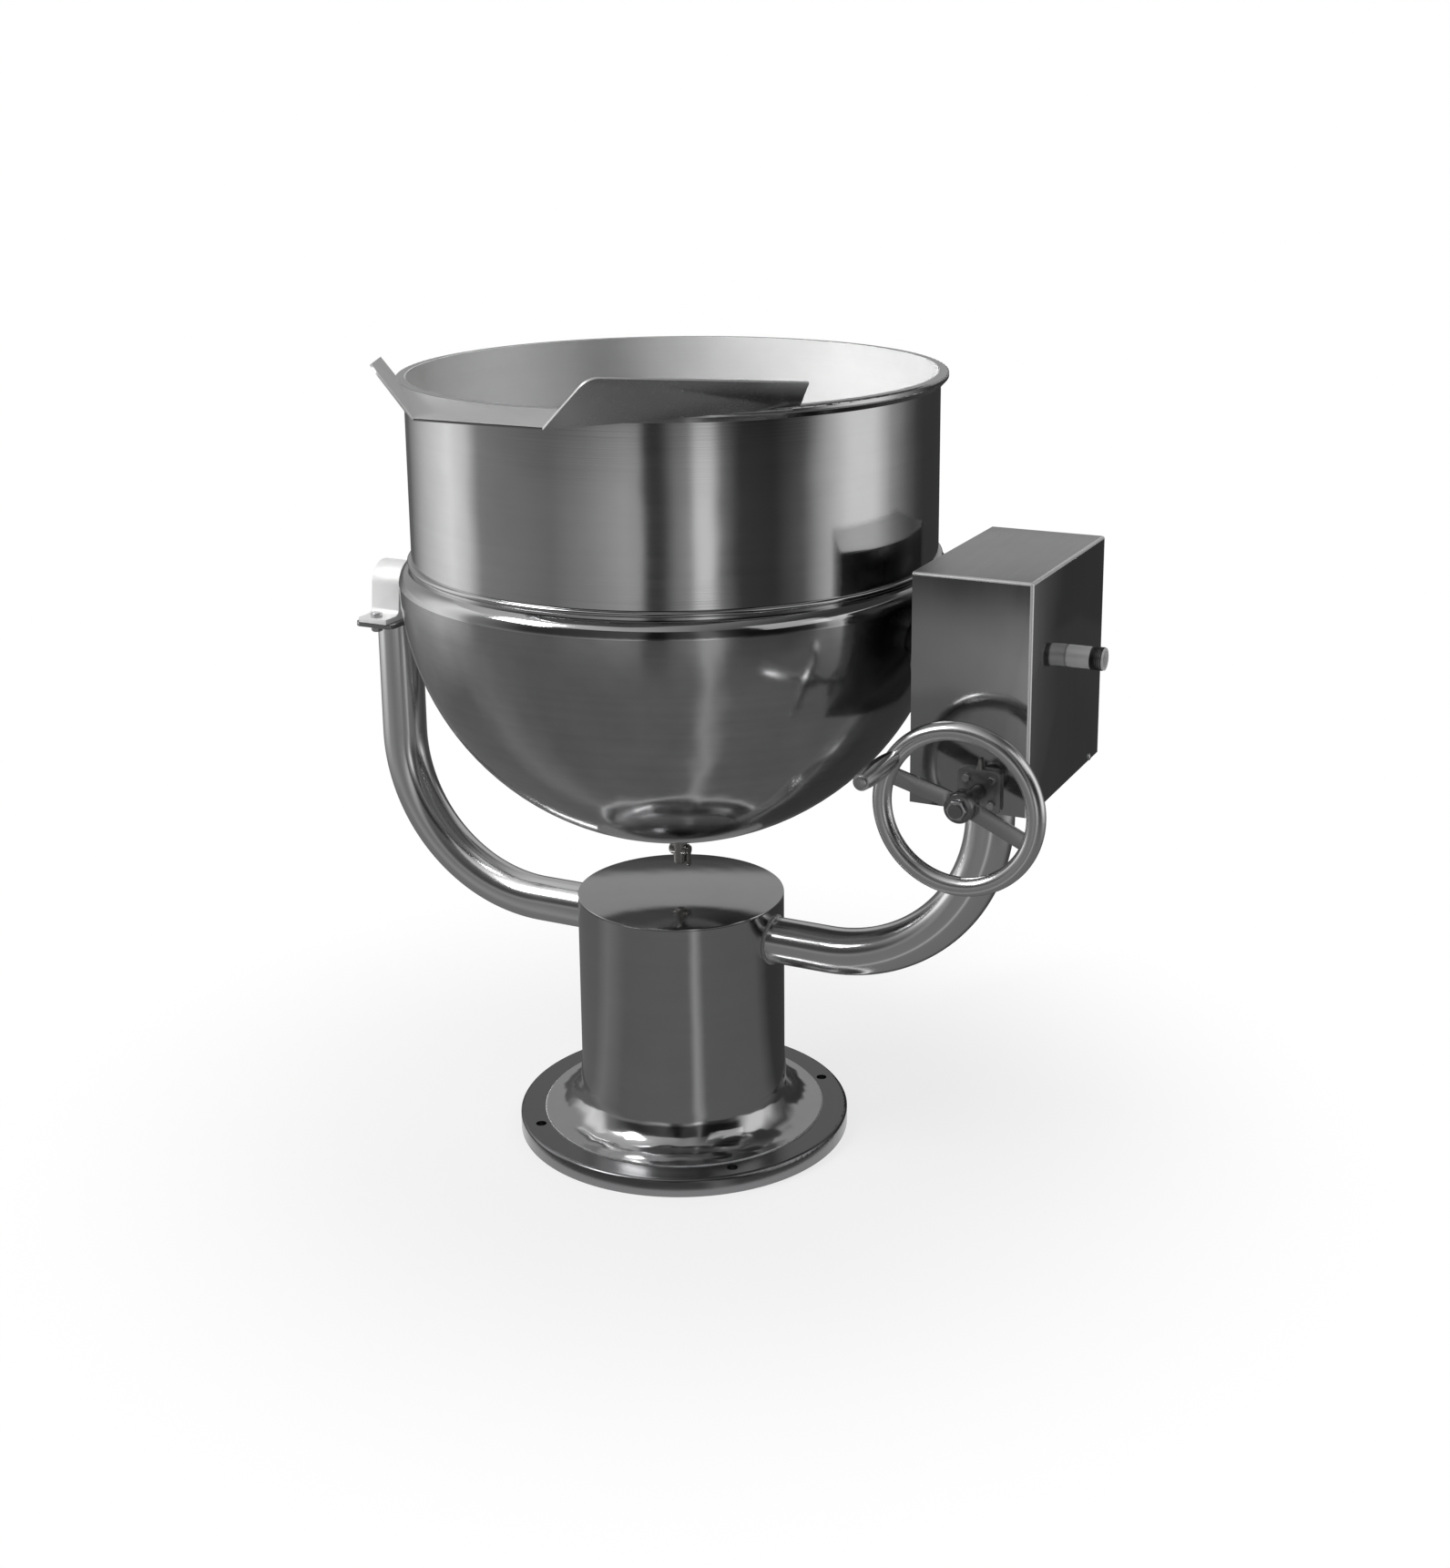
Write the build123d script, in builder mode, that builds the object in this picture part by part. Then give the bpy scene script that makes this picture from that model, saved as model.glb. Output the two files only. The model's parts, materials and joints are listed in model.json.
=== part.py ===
from build123d import *
import math
import os

# Tilting steam jacketed kettle on a pedestal, with a hand-cranked worm drive.
# Frame: origin on the floor at the pedestal's axis, +Z up, -Y towards the pouring lip (front),
# +X towards the drive console. The tilt axis is parallel to X. All sizes are in millimetres.

os.makedirs("parts", exist_ok=True)

# ------------------------------------------------------------------ driving sizes
TILT_AXIS_HEIGHT = 708.0
RUNNING_CLEARANCE = 0.05  # radial play of a shaft in its bearing
FIT_CLEARANCE = 0.1  # radial play around screws, keys and pipes that stay put
SHOULDER_PLAY = 2.0  # gap between a shaft's shoulder or end and what stands next to it

# Product vessel
BOWL_RADIUS = 330.0  # inside
BOWL_WALL = 3.0
BOWL_CENTRE_ABOVE_AXIS = 68.0  # centre of the hemispherical bottom
BOWL_WALL_HEIGHT = 244.0  # straight wall above the hemisphere
RIM_PROUD = 10.0
RIM_DEPTH = 14.0
RIM_LEDGE = 3.5  # width of the ring's underside
RIM_ROUND = 3.0

# Steam jacket
STEAM_SPACE = 14.0  # between the bowl and the jacket, beside the bowl
JACKET_WALL = 3.0
JACKET_DROP = 10.0  # the jacket's centre stands this far below the bowl's
JACKET_TRIM = 4.0  # the shell stops this far below its own centre
CLOSURE_RISE = 19.0
CLOSURE_SHOULDER = 6.0
CLOSURE_GROOVE = 2.0
CLOSURE_BEAD = 3.5
CLOSURE_STEP = 4.0

# Pouring lip
LIP_OVERHANG = 110.0  # beyond the rim
LIP_FRONT_HALF_WIDTH = 81.0
LIP_SHEET = 3.0
LIP_WING_END_ANGLE = 52.0  # where the wings end on the rim, measured from the front
LIP_WING_LEAN = 36.0
LIP_FRONT_SLOPE_HEIGHT = 69.0
LIP_REAR_SLOPE_HEIGHT = 35.5
LIP_FRONT_SET_BACK = 35.0
LIP_CORNER_ROUND = 20.0

# Pedestal and arms
COLUMN_RADIUS = 136.5
COLUMN_WALL = 6.4
COLUMN_HEADROOM = 40.0  # from the column's top to the drain cock
TOP_COVER_SHEET = 3.0
BASE_OVERHANG = 84.5  # from the column to the flange's edge
BASE_THICKNESS = 24.0
BASE_EDGE_ROUND = 5.0
ANCHOR_EDGE_DISTANCE = 21.0
ANCHOR_HOLE_RADIUS = 7.0
ANCHOR_COUNT = 4
ANCHOR_START_ANGLE = 45.0
SKIRT_SHEET = 2.0
SKIRT_FLARE_RADIUS = 42.0
SKIRT_LIP = 6.0
SKIRT_COLLAR = 8.0
ARM_TUBE_RADIUS = 30.15
ARM_TUBE_WALL = 3.9
ARM_STAND_OFF = 78.0  # from the jacket to the middle of an upright arm
ARM_EXIT_DEPTH = 46.5  # below the column's top
ARM_BEND_RADIUS = 215.0
ARM_COLUMN_OVERLAP = 30.0  # how far each arm runs on inside the column

# Trunnions and their pillow blocks
TRUNNION_BOSS_RADIUS = 27.0
JOURNAL_RADIUS = 19.0
WHEEL_SEAT_RADIUS = 17.0
SPIGOT_RADIUS = 14.0
STEAM_BORE_RADIUS = 9.5
PAD_RADIUS = 46.0
PAD_THICKNESS = 5.0
BLOCK_CENTRE_HEIGHT = 45.0
BLOCK_ARCH_RADIUS = 30.0
BLOCK_WIDTH = 44.0
BLOCK_FOOT_LENGTH = 128.0
BLOCK_FOOT_THICKNESS = 7.0
BLOCK_WAIST = 34.0
BLOCK_FLARE = 9.0
BUSH_WALL = 4.0
BOLT_RADIUS = 5.0
BOLT_SPACING = 108.0
BOLT_HEAD_RADIUS = 8.0
BOLT_HEAD_HEIGHT = 6.5
BEARING_PLATE_THICKNESS = 6.0
BEARING_PLATE_ROUND = 10.0
RIGHT_BLOCK_INSET = 38.0  # from the console's inner side to the middle of its bearing

# Drive console
CONSOLE_GAP = 33.0  # from the rim to the console
CONSOLE_WIDTH = 144.0
CONSOLE_DEPTH = 277.0
CONSOLE_DROP = 159.0  # below the tilt axis
CONSOLE_RISE = 117.0  # above the tilt axis
CONSOLE_SHEET = 2.0
BACK_PLATE_THICKNESS = 3.0
BACK_FLANGE_DEPTH = 12.0
BASE_PLATE_THICKNESS = 8.0
PEDESTAL_WALL = 14.0
COVER_SCREW_RADIUS = 2.5
COVER_SCREW_HEAD_RADIUS = 4.5
COVER_SCREW_HEAD_HEIGHT = 2.2
COVER_SCREW_LENGTH = 12.0
COVER_SCREW_SPACING = 200.0
REAR_SCREW_SPACING = 176.0

# Worm drive
GEAR_MODULE = 4.0
WHEEL_TEETH = 59
WORM_PITCH_RADIUS = 14.0
PRESSURE_ANGLE = 20.0
ADDENDUM = 3.4
DEDENDUM = 4.4
BACKLASH = 0.35
WORM_TURNS = 4
TOOTH_ROOTING = 2.0  # how far a tooth or thread runs on inside the metal that carries it
WHEEL_FACE_WIDTH = 16.0
WHEEL_INSET = 87.0  # from the console's inner side to the middle of the worm wheel
SECTOR_FRONT_TEETH = 17
SECTOR_BACK_TEETH = 3
WHEEL_HUB_RADIUS = 34.0
WHEEL_HUB_LENGTH = 32.0
WHEEL_KEY_WIDTH = 8.0
WHEEL_KEY_HEIGHT = 7.0
WORM_SHAFT_RADIUS = 9.0
COLLAR_RADIUS = 16.0
COLLAR_WIDTH = 10.0
COLLAR_PLAY = 0.3
WORM_BUSH_WALL = 4.0
FRONT_BEARING_SIZE = 52.0
FRONT_BEARING_FLANGE = 7.0
FRONT_BEARING_BARREL = 24.0
FRONT_BEARING_BOLT_SPACING = 30.0
FRONT_BOLT_RADIUS = 3.0
FRONT_BOLT_HEAD_RADIUS = 5.2
FRONT_BOLT_HEAD_HEIGHT = 4.0
FRONT_BOLT_LENGTH = 14.0
REAR_BLOCK_INSET = 64.5  # from the console's rear to the front of the worm's rear bearing
REAR_BLOCK_LENGTH = 24.0
REAR_BLOCK_WIDTH = 44.0
GREASE_NIPPLE_RADIUS = 3.5
GREASE_NIPPLE_LENGTH = 12.0
GREASE_NIPPLE_TAPER = 8.0
GREASE_DUCT_RADIUS = 1.1

# Steam connection
STEAM_PIPE_RADIUS = 13.35
STEAM_PIPE_BORE_RADIUS = 10.5
STEAM_PIPE_STAND_OUT = 45.0  # from the console's outer side
STEAM_PIPE_SHOULDER = 1.0  # from the console's outer side to the pipe's full radius
STEAM_THREAD_RADIUS = 12.6  # the inner end that screws into the union
UNION_RADIUS = 24.0
UNION_FLANGE_RADIUS = 34.0
UNION_FLANGE_THICKNESS = 6.0
UNION_LENGTH = 30.0
SPIGOT_ENGAGEMENT = 14.0
SIPHON_RADIUS = 5.0
SIPHON_BORE_RADIUS = 3.8
SIPHON_BEND_RADIUS = 12.0
SIPHON_LOW_ANGLE = 84.0
SIPHON_CLIP_ANGLE = 45.0
SIPHON_CLIP_RADIUS = 11.0
SIPHON_CLIP_LENGTH = 14.0

# Jacket drain
DRAIN_NIPPLE_RADIUS = 6.85
DRAIN_BORE_RADIUS = 3.5
DRAIN_NIPPLE_LENGTH = 24.0
DRAIN_THREAD_LENGTH = 6.0
DRAIN_OUTLET_RADIUS = 5.0
DRAIN_OUTLET_LENGTH = 9.0
COCK_BODY_RADIUS = 9.0
COCK_BODY_LENGTH = 36.0
COCK_CHAMFER = 1.2
COCK_BARREL_RADIUS = 8.0
COCK_BARREL_LENGTH = 22.0
COCK_PLUG_RADIUS = 6.0
COCK_PORT_RADIUS = 3.0
COCK_LEVER_LENGTH = 26.0
COCK_LEVER_WIDTH = 8.0
COCK_LEVER_THICKNESS = 2.5
COCK_LEVER_EYE_RADIUS = 6.5
COCK_PLUG_TAIL = 3.0

# Handwheel
WHEEL_RIM_RADIUS = 91.5
WHEEL_RIM_TUBE_RADIUS = 11.0
HANDWHEEL_STANDOFF = 75.0  # from the console's front to the rim's plane
SPOKE_ANGLE = -20.0
SPOKE_WIDTH = 20.0
SPOKE_THICKNESS = 5.0
SPOKE_DISH = 12.0
SPOKE_FLAT_HALF = 24.0
HUB_RADIUS = 17.0
HUB_LENGTH = 26.0
HUB_KEY_WIDTH = 4.0
HUB_SEAT_RADIUS = 8.0
HUB_NUT_RADIUS = 12.0
HUB_NUT_HEIGHT = 8.0
HANDLE_ANGLE = 145.0
HANDLE_SPINDLE_RADIUS = 4.5
HANDLE_LENGTH = 92.0
HANDLE_BASE_RADIUS = 9.0
HANDLE_BELLY_RADIUS = 12.0
HANDLE_BELLY_REACH = 41.5  # from the grip's base to its widest place
HANDLE_END_RADIUS = 9.5
HANDLE_PLAY = 0.4
SPINDLE_HEAD_RADIUS = 7.0
SPINDLE_HEAD_HEIGHT = 4.0

# ------------------------------------------------------------------ derived sizes
bowl_outer = BOWL_RADIUS + BOWL_WALL
bowl_z = TILT_AXIS_HEIGHT + BOWL_CENTRE_ABOVE_AXIS
rim_z = bowl_z + BOWL_WALL_HEIGHT
rim_radius = bowl_outer + RIM_PROUD
jacket_z = bowl_z - JACKET_DROP
jacket_inner = bowl_outer + STEAM_SPACE
jacket_radius = jacket_inner + JACKET_WALL
jacket_bottom = jacket_z - jacket_radius
outer_trim_angle = math.degrees(math.asin(JACKET_TRIM / jacket_radius))
inner_trim_angle = math.degrees(math.asin(JACKET_TRIM / jacket_inner))

left_axis = Plane(origin=(0, 0, TILT_AXIS_HEIGHT), x_dir=(0, -1, 0), z_dir=(-1, 0, 0))
right_axis = Plane(origin=(0, 0, TILT_AXIS_HEIGHT), x_dir=(0, 1, 0), z_dir=(1, 0, 0))

block_foot_z = TILT_AXIS_HEIGHT - BLOCK_CENTRE_HEIGHT
bush_outer = JOURNAL_RADIUS + RUNNING_CLEARANCE + BUSH_WALL
worm_bush_outer = WORM_SHAFT_RADIUS + RUNNING_CLEARANCE + WORM_BUSH_WALL
left_arm_top = block_foot_z - BEARING_PLATE_THICKNESS
arm_reach = jacket_radius + ARM_STAND_OFF

console_inner_x = rim_radius + CONSOLE_GAP
console_outer_x = console_inner_x + CONSOLE_WIDTH
console_centre_x = console_inner_x + CONSOLE_WIDTH / 2
console_bottom = TILT_AXIS_HEIGHT - CONSOLE_DROP
console_top = TILT_AXIS_HEIGHT + CONSOLE_RISE
right_block_x = console_inner_x + RIGHT_BLOCK_INSET
wheel_x = console_inner_x + WHEEL_INSET
console_front_y = -CONSOLE_DEPTH / 2
cover_inner_x = console_outer_x - CONSOLE_SHEET
base_plate_top = console_bottom + BASE_PLATE_THICKNESS

wheel_pitch_radius = GEAR_MODULE * WHEEL_TEETH / 2
wheel_root_radius = wheel_pitch_radius - DEDENDUM
worm_z = TILT_AXIS_HEIGHT - wheel_pitch_radius - WORM_PITCH_RADIUS
worm_pitch = math.pi * GEAR_MODULE
worm_length = WORM_TURNS * worm_pitch
worm_core_radius = WORM_PITCH_RADIUS - DEDENDUM
lead_angle = math.degrees(math.atan(worm_pitch / (2 * math.pi * WORM_PITCH_RADIUS)))
flank_slope = math.tan(math.radians(PRESSURE_ANGLE))
tooth_half = worm_pitch / 4 - BACKLASH
tooth_tip_half = tooth_half - ADDENDUM * flank_slope
tooth_root_half = tooth_half + DEDENDUM * flank_slope
tooth_step = 360 / WHEEL_TEETH

handwheel_y = console_front_y - HANDWHEEL_STANDOFF
hub_y = handwheel_y + SPOKE_DISH

# A frame on the worm's axis, looking back from the front: local x is +X, local y is +Z, local z is -Y
worm_front = Plane(origin=(wheel_x, 0, worm_z), x_dir=(1, 0, 0), z_dir=(0, -1, 0))


def save(part, name):
    """Label a finished piece and write it as a STEP file of the same name."""
    part.label = name
    export_step(part, f"parts/{name}.step")


# ------------------------------------------------------------------ product vessel
with BuildPart() as bowl:
    with BuildSketch(Plane.XZ):
        with BuildLine():
            CenterArc((0, bowl_z), bowl_outer, -90, 90)
            Line((bowl_outer, bowl_z), (bowl_outer, rim_z))
            Line((bowl_outer, rim_z), (BOWL_RADIUS, rim_z))
            Line((BOWL_RADIUS, rim_z), (BOWL_RADIUS, bowl_z))
            CenterArc((0, bowl_z), BOWL_RADIUS, -90, 90)
            Line((0, bowl_z - BOWL_RADIUS), (0, bowl_z - bowl_outer))
        make_face()
    revolve(axis=Axis.Z)
save(bowl.part, "bowl")

with BuildPart() as rim_ring:
    with BuildSketch(Plane.XZ) as rim_section:
        with BuildLine():
            Polyline(
                (bowl_outer, rim_z),
                (rim_radius, rim_z),
                (rim_radius, rim_z - RIM_DEPTH / 2),
                (bowl_outer + RIM_LEDGE, rim_z - RIM_DEPTH),
                (bowl_outer, rim_z - RIM_DEPTH),
                close=True,
            )
        make_face()
        fillet(rim_section.vertices().group_by(Axis.X)[-1], RIM_ROUND)
    revolve(axis=Axis.Z)
save(rim_ring.part, "rim_ring")

# ------------------------------------------------------------------ pouring lip
# The lip is folded from sheet: a flat trough floor and two wings that lean outwards and run back
# along the rim. The crease between floor and wing is straight from the front to the rim.
wing_end_radius = bowl_outer + RIM_PROUD / 2
wing_end = Vector(
    wing_end_radius * math.sin(math.radians(LIP_WING_END_ANGLE)),
    -wing_end_radius * math.cos(math.radians(LIP_WING_END_ANGLE)),
    rim_z,
)
wing_start = Vector(LIP_FRONT_HALF_WIDTH, -rim_radius - LIP_OVERHANG, rim_z)
crease = wing_end - wing_start
wing_normal = Vector(0, 0, 1).cross(crease).normalized() * -math.cos(math.radians(LIP_WING_LEAN))
wing_normal = wing_normal - Vector(0, 0, math.sin(math.radians(LIP_WING_LEAN)))
wing_plane = Plane(origin=wing_start, x_dir=crease, z_dir=wing_normal)

with BuildPart() as pouring_lip:
    with BuildSketch(Plane.XY.offset(rim_z)):
        with BuildLine():
            Polyline(
                (-wing_start.X, wing_start.Y),
                (wing_start.X, wing_start.Y),
                (wing_end.X, wing_end.Y),
                (-wing_end.X, wing_end.Y),
                close=True,
            )
        make_face()
    extrude(amount=-LIP_SHEET)
    with BuildSketch(wing_plane) as wing_outline:
        with BuildLine():
            Polyline(
                (0, -LIP_SHEET / 2),
                (crease.length, -LIP_SHEET / 2),
                (crease.length, LIP_REAR_SLOPE_HEIGHT),
                (LIP_FRONT_SET_BACK, LIP_FRONT_SLOPE_HEIGHT),
                close=True,
            )
        make_face()
        fillet(wing_outline.vertices().sort_by(Axis.Y)[-1], LIP_CORNER_ROUND)
    extrude(amount=LIP_SHEET)
    mirror(about=Plane.YZ)
    with BuildSketch(Plane.XY.offset(rim_z)):
        Circle(rim_radius)
    extrude(amount=-2 * LIP_SHEET, mode=Mode.SUBTRACT)
save(pouring_lip.part, "pouring_lip")

# ------------------------------------------------------------------ steam jacket
with BuildPart() as steam_jacket:
    with BuildSketch(Plane.XZ):
        with BuildLine() as jacket_outline:
            outer_arc = CenterArc((0, jacket_z), jacket_radius, -90, 90 - outer_trim_angle)
            inner_arc = CenterArc((0, jacket_z), jacket_inner, -90, 90 - inner_trim_angle)
            Line(outer_arc @ 1, inner_arc @ 1)
            Line(outer_arc @ 0, inner_arc @ 0)
        make_face()
    revolve(axis=Axis.Z)
    with Locations((0, 0, jacket_bottom)):
        Cylinder(DRAIN_NIPPLE_RADIUS, 4 * JACKET_WALL, mode=Mode.SUBTRACT)
    with BuildSketch(right_axis):
        Circle(STEAM_BORE_RADIUS)
    extrude(amount=jacket_radius, mode=Mode.SUBTRACT)
save(steam_jacket.part, "steam_jacket")

closure_z = jacket_z - JACKET_TRIM
closure_edge = math.sqrt(jacket_radius**2 - JACKET_TRIM**2)
bead_z = closure_z + CLOSURE_RISE + CLOSURE_STEP + CLOSURE_BEAD
with BuildPart() as jacket_closure_ring:
    with BuildSketch(Plane.XZ):
        with BuildLine():
            TangentArc(
                (closure_edge, closure_z),
                (bowl_outer + CLOSURE_SHOULDER, closure_z + CLOSURE_RISE),
                tangent=(0, 1),
            )
            Polyline(
                (bowl_outer + CLOSURE_SHOULDER, closure_z + CLOSURE_RISE),
                (bowl_outer + CLOSURE_GROOVE, closure_z + CLOSURE_RISE),
                (bowl_outer + CLOSURE_GROOVE, bead_z - CLOSURE_BEAD),
            )
            ThreePointArc(
                (bowl_outer + CLOSURE_GROOVE, bead_z - CLOSURE_BEAD),
                (bowl_outer + CLOSURE_GROOVE + CLOSURE_BEAD, bead_z),
                (bowl_outer + CLOSURE_GROOVE, bead_z + CLOSURE_BEAD),
            )
            Polyline(
                (bowl_outer + CLOSURE_GROOVE, bead_z + CLOSURE_BEAD),
                (bowl_outer, bead_z + CLOSURE_BEAD),
                (bowl_outer, closure_z),
                (closure_edge, closure_z),
            )
        make_face()
    revolve(axis=Axis.Z)
save(jacket_closure_ring.part, "jacket_closure_ring")

# ------------------------------------------------------------------ trunnions
left_block_inner = arm_reach - BLOCK_WIDTH / 2
right_block_inner = right_block_x - BLOCK_WIDTH / 2
left_trunnion_end = arm_reach + BLOCK_WIDTH / 2 + SHOULDER_PLAY
wheel_hub_inner = wheel_x - WHEEL_HUB_LENGTH / 2
wheel_hub_outer = wheel_x + WHEEL_HUB_LENGTH / 2
union_start_x = cover_inner_x - UNION_LENGTH
spigot_end_x = union_start_x + SPIGOT_ENGAGEMENT

pad_arc = 2 * math.degrees(math.asin((jacket_z - TILT_AXIS_HEIGHT + PAD_RADIUS) / jacket_radius))
for side, axis_plane in (("left", left_axis), ("right", right_axis)):
    with BuildPart() as trunnion_pad:
        with BuildSketch(Plane.XZ):
            with BuildLine():
                pad_outer = CenterArc((0, jacket_z), jacket_radius + PAD_THICKNESS, -pad_arc, pad_arc)
                pad_inner = CenterArc((0, jacket_z), jacket_radius, -pad_arc, pad_arc)
                Line(pad_outer @ 0, pad_inner @ 0)
                Line(pad_outer @ 1, pad_inner @ 1)
            make_face()
        revolve(axis=Axis.Z)
        with BuildSketch(axis_plane):
            Circle(PAD_RADIUS)
        extrude(amount=2 * jacket_radius, mode=Mode.INTERSECT)
        with BuildSketch(axis_plane):
            Circle(TRUNNION_BOSS_RADIUS)
        extrude(amount=2 * jacket_radius, mode=Mode.SUBTRACT)
    save(trunnion_pad.part, f"{side}_trunnion_pad")

with BuildPart() as left_trunnion:
    with BuildSketch(left_axis):
        Circle(TRUNNION_BOSS_RADIUS)
    extrude(amount=left_block_inner - SHOULDER_PLAY)
    with BuildSketch(left_axis):
        Circle(JOURNAL_RADIUS)
    extrude(amount=left_trunnion_end)
    with Locations((0, 0, jacket_z)):
        Sphere(jacket_radius, mode=Mode.SUBTRACT)
    chamfer(left_trunnion.faces().sort_by(Axis.X)[0].edges(), SHOULDER_PLAY / 2)
save(left_trunnion.part, "left_trunnion")

with BuildPart() as right_trunnion:
    for radius, end_x in (
        (TRUNNION_BOSS_RADIUS, right_block_inner - SHOULDER_PLAY),
        (JOURNAL_RADIUS, wheel_hub_inner),
        (WHEEL_SEAT_RADIUS, wheel_hub_outer),
        (SPIGOT_RADIUS, spigot_end_x),
    ):
        with BuildSketch(right_axis):
            Circle(radius)
        extrude(amount=end_x)
    with Locations((0, 0, jacket_z)):
        Sphere(jacket_radius, mode=Mode.SUBTRACT)
    with BuildSketch(right_axis):
        Circle(STEAM_BORE_RADIUS)
    extrude(amount=console_outer_x, mode=Mode.SUBTRACT)
    with Locations((wheel_x, 0, TILT_AXIS_HEIGHT + WHEEL_SEAT_RADIUS)):
        Box(WHEEL_HUB_LENGTH, WHEEL_KEY_WIDTH, WHEEL_KEY_HEIGHT, mode=Mode.SUBTRACT)
save(right_trunnion.part, "right_trunnion")

# ------------------------------------------------------------------ siphon tube
# The tube follows the middle of the steam space up to the trunnion's bore and leaves through it.
siphon_arc_radius = (bowl_outer + jacket_inner) / 2
siphon_z = (bowl_z + jacket_z) / 2
siphon_rise = TILT_AXIS_HEIGHT - siphon_z - SIPHON_BEND_RADIUS
siphon_top_angle = math.degrees(math.asin(siphon_rise / (siphon_arc_radius + SIPHON_BEND_RADIUS)))
siphon_bend_centre = (
    (siphon_arc_radius + SIPHON_BEND_RADIUS) * math.cos(math.radians(siphon_top_angle)),
    TILT_AXIS_HEIGHT - SIPHON_BEND_RADIUS,
)
with BuildPart() as siphon_tube:
    with BuildLine(Plane.XZ) as siphon_path:
        CenterArc((0, siphon_z), siphon_arc_radius, -SIPHON_LOW_ANGLE, SIPHON_LOW_ANGLE + siphon_top_angle)
        CenterArc(siphon_bend_centre, SIPHON_BEND_RADIUS, 180 + siphon_top_angle, -90 - siphon_top_angle)
        Line((siphon_bend_centre[0], TILT_AXIS_HEIGHT), (spigot_end_x, TILT_AXIS_HEIGHT))
    with BuildSketch(Plane(origin=siphon_path.line @ 0, z_dir=siphon_path.line % 0)):
        Circle(SIPHON_RADIUS)
        Circle(SIPHON_BORE_RADIUS, mode=Mode.SUBTRACT)
    sweep(path=siphon_path.line)
save(siphon_tube.part, "siphon_tube")

clip_angle = math.radians(SIPHON_CLIP_ANGLE)
clip_plane = Plane(
    origin=(siphon_arc_radius * math.cos(clip_angle), 0, siphon_z - siphon_arc_radius * math.sin(clip_angle)),
    z_dir=(math.sin(clip_angle), 0, math.cos(clip_angle)),
)
with BuildPart() as siphon_clip:
    with BuildSketch(clip_plane):
        Circle(SIPHON_CLIP_RADIUS)
        Circle(SIPHON_RADIUS + FIT_CLEARANCE, mode=Mode.SUBTRACT)
    extrude(amount=SIPHON_CLIP_LENGTH / 2, both=True)
    with Locations((0, 0, jacket_z)):
        Sphere(jacket_inner, mode=Mode.INTERSECT)
    with Locations((0, 0, bowl_z)):
        Sphere(bowl_outer + FIT_CLEARANCE, mode=Mode.SUBTRACT)
save(siphon_clip.part, "siphon_clip")

# ------------------------------------------------------------------ jacket drain
drain_nipple_top = jacket_bottom + DRAIN_THREAD_LENGTH
drain_nipple_bottom = drain_nipple_top - DRAIN_NIPPLE_LENGTH
cock_top = drain_nipple_bottom + DRAIN_THREAD_LENGTH
cock_plug_z = cock_top - COCK_BODY_LENGTH / 2
cock_bottom = cock_top - COCK_BODY_LENGTH
with BuildPart() as drain_nipple:
    with BuildSketch(Plane.XY.offset(drain_nipple_bottom)):
        Circle(DRAIN_NIPPLE_RADIUS)
        Circle(DRAIN_BORE_RADIUS, mode=Mode.SUBTRACT)
    extrude(amount=DRAIN_NIPPLE_LENGTH)
save(drain_nipple.part, "drain_nipple")

cock_plane = Plane(origin=(0, 0, cock_plug_z), x_dir=(0, 1, 0), z_dir=(1, 0, 0))
with BuildPart() as drain_cock_body:
    with BuildSketch(Plane.XY.offset(cock_bottom)):
        Circle(COCK_BODY_RADIUS)
    extrude(amount=COCK_BODY_LENGTH)
    with BuildSketch(cock_plane):
        Circle(COCK_BARREL_RADIUS)
    extrude(amount=COCK_BARREL_LENGTH / 2, both=True)
    with BuildSketch(Plane.XY.offset(cock_bottom)):
        Circle(DRAIN_BORE_RADIUS)
    extrude(amount=COCK_BODY_LENGTH, mode=Mode.SUBTRACT)
    with BuildSketch(Plane.XY.offset(drain_nipple_bottom)):
        Circle(DRAIN_NIPPLE_RADIUS)
    extrude(amount=DRAIN_THREAD_LENGTH, mode=Mode.SUBTRACT)
    with BuildSketch(cock_plane):
        Circle(COCK_PLUG_RADIUS + RUNNING_CLEARANCE)
    extrude(amount=COCK_BARREL_LENGTH, both=True, mode=Mode.SUBTRACT)
    with BuildSketch(Plane.XY.offset(cock_bottom)):
        Circle(DRAIN_OUTLET_RADIUS)
    extrude(amount=DRAIN_OUTLET_LENGTH, mode=Mode.SUBTRACT)
    outlet_face = drain_cock_body.faces().sort_by(Axis.Z)[0]
    chamfer(outlet_face.edges().sort_by(Edge.length)[-1], COCK_CHAMFER)
save(drain_cock_body.part, "drain_cock_body")

lever_x = COCK_BARREL_LENGTH / 2 + HANDLE_PLAY
with BuildPart() as drain_cock_plug:
    with BuildSketch(cock_plane.offset(-COCK_BARREL_LENGTH / 2 - COCK_PLUG_TAIL)):
        Circle(COCK_PLUG_RADIUS)
    extrude(amount=COCK_BARREL_LENGTH + COCK_PLUG_TAIL + HANDLE_PLAY)
    with BuildSketch(cock_plane.offset(lever_x)):
        with Locations((0, -COCK_LEVER_LENGTH / 2 + COCK_LEVER_WIDTH / 2)):
            SlotOverall(COCK_LEVER_LENGTH, COCK_LEVER_WIDTH, rotation=90)
        Circle(COCK_LEVER_EYE_RADIUS)
    extrude(amount=COCK_LEVER_THICKNESS)
    with BuildSketch(Plane.XY.offset(cock_plug_z)):
        Circle(COCK_PORT_RADIUS)
    extrude(amount=COCK_BODY_RADIUS, both=True, mode=Mode.SUBTRACT)
save(drain_cock_plug.part, "drain_cock_plug")

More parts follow.
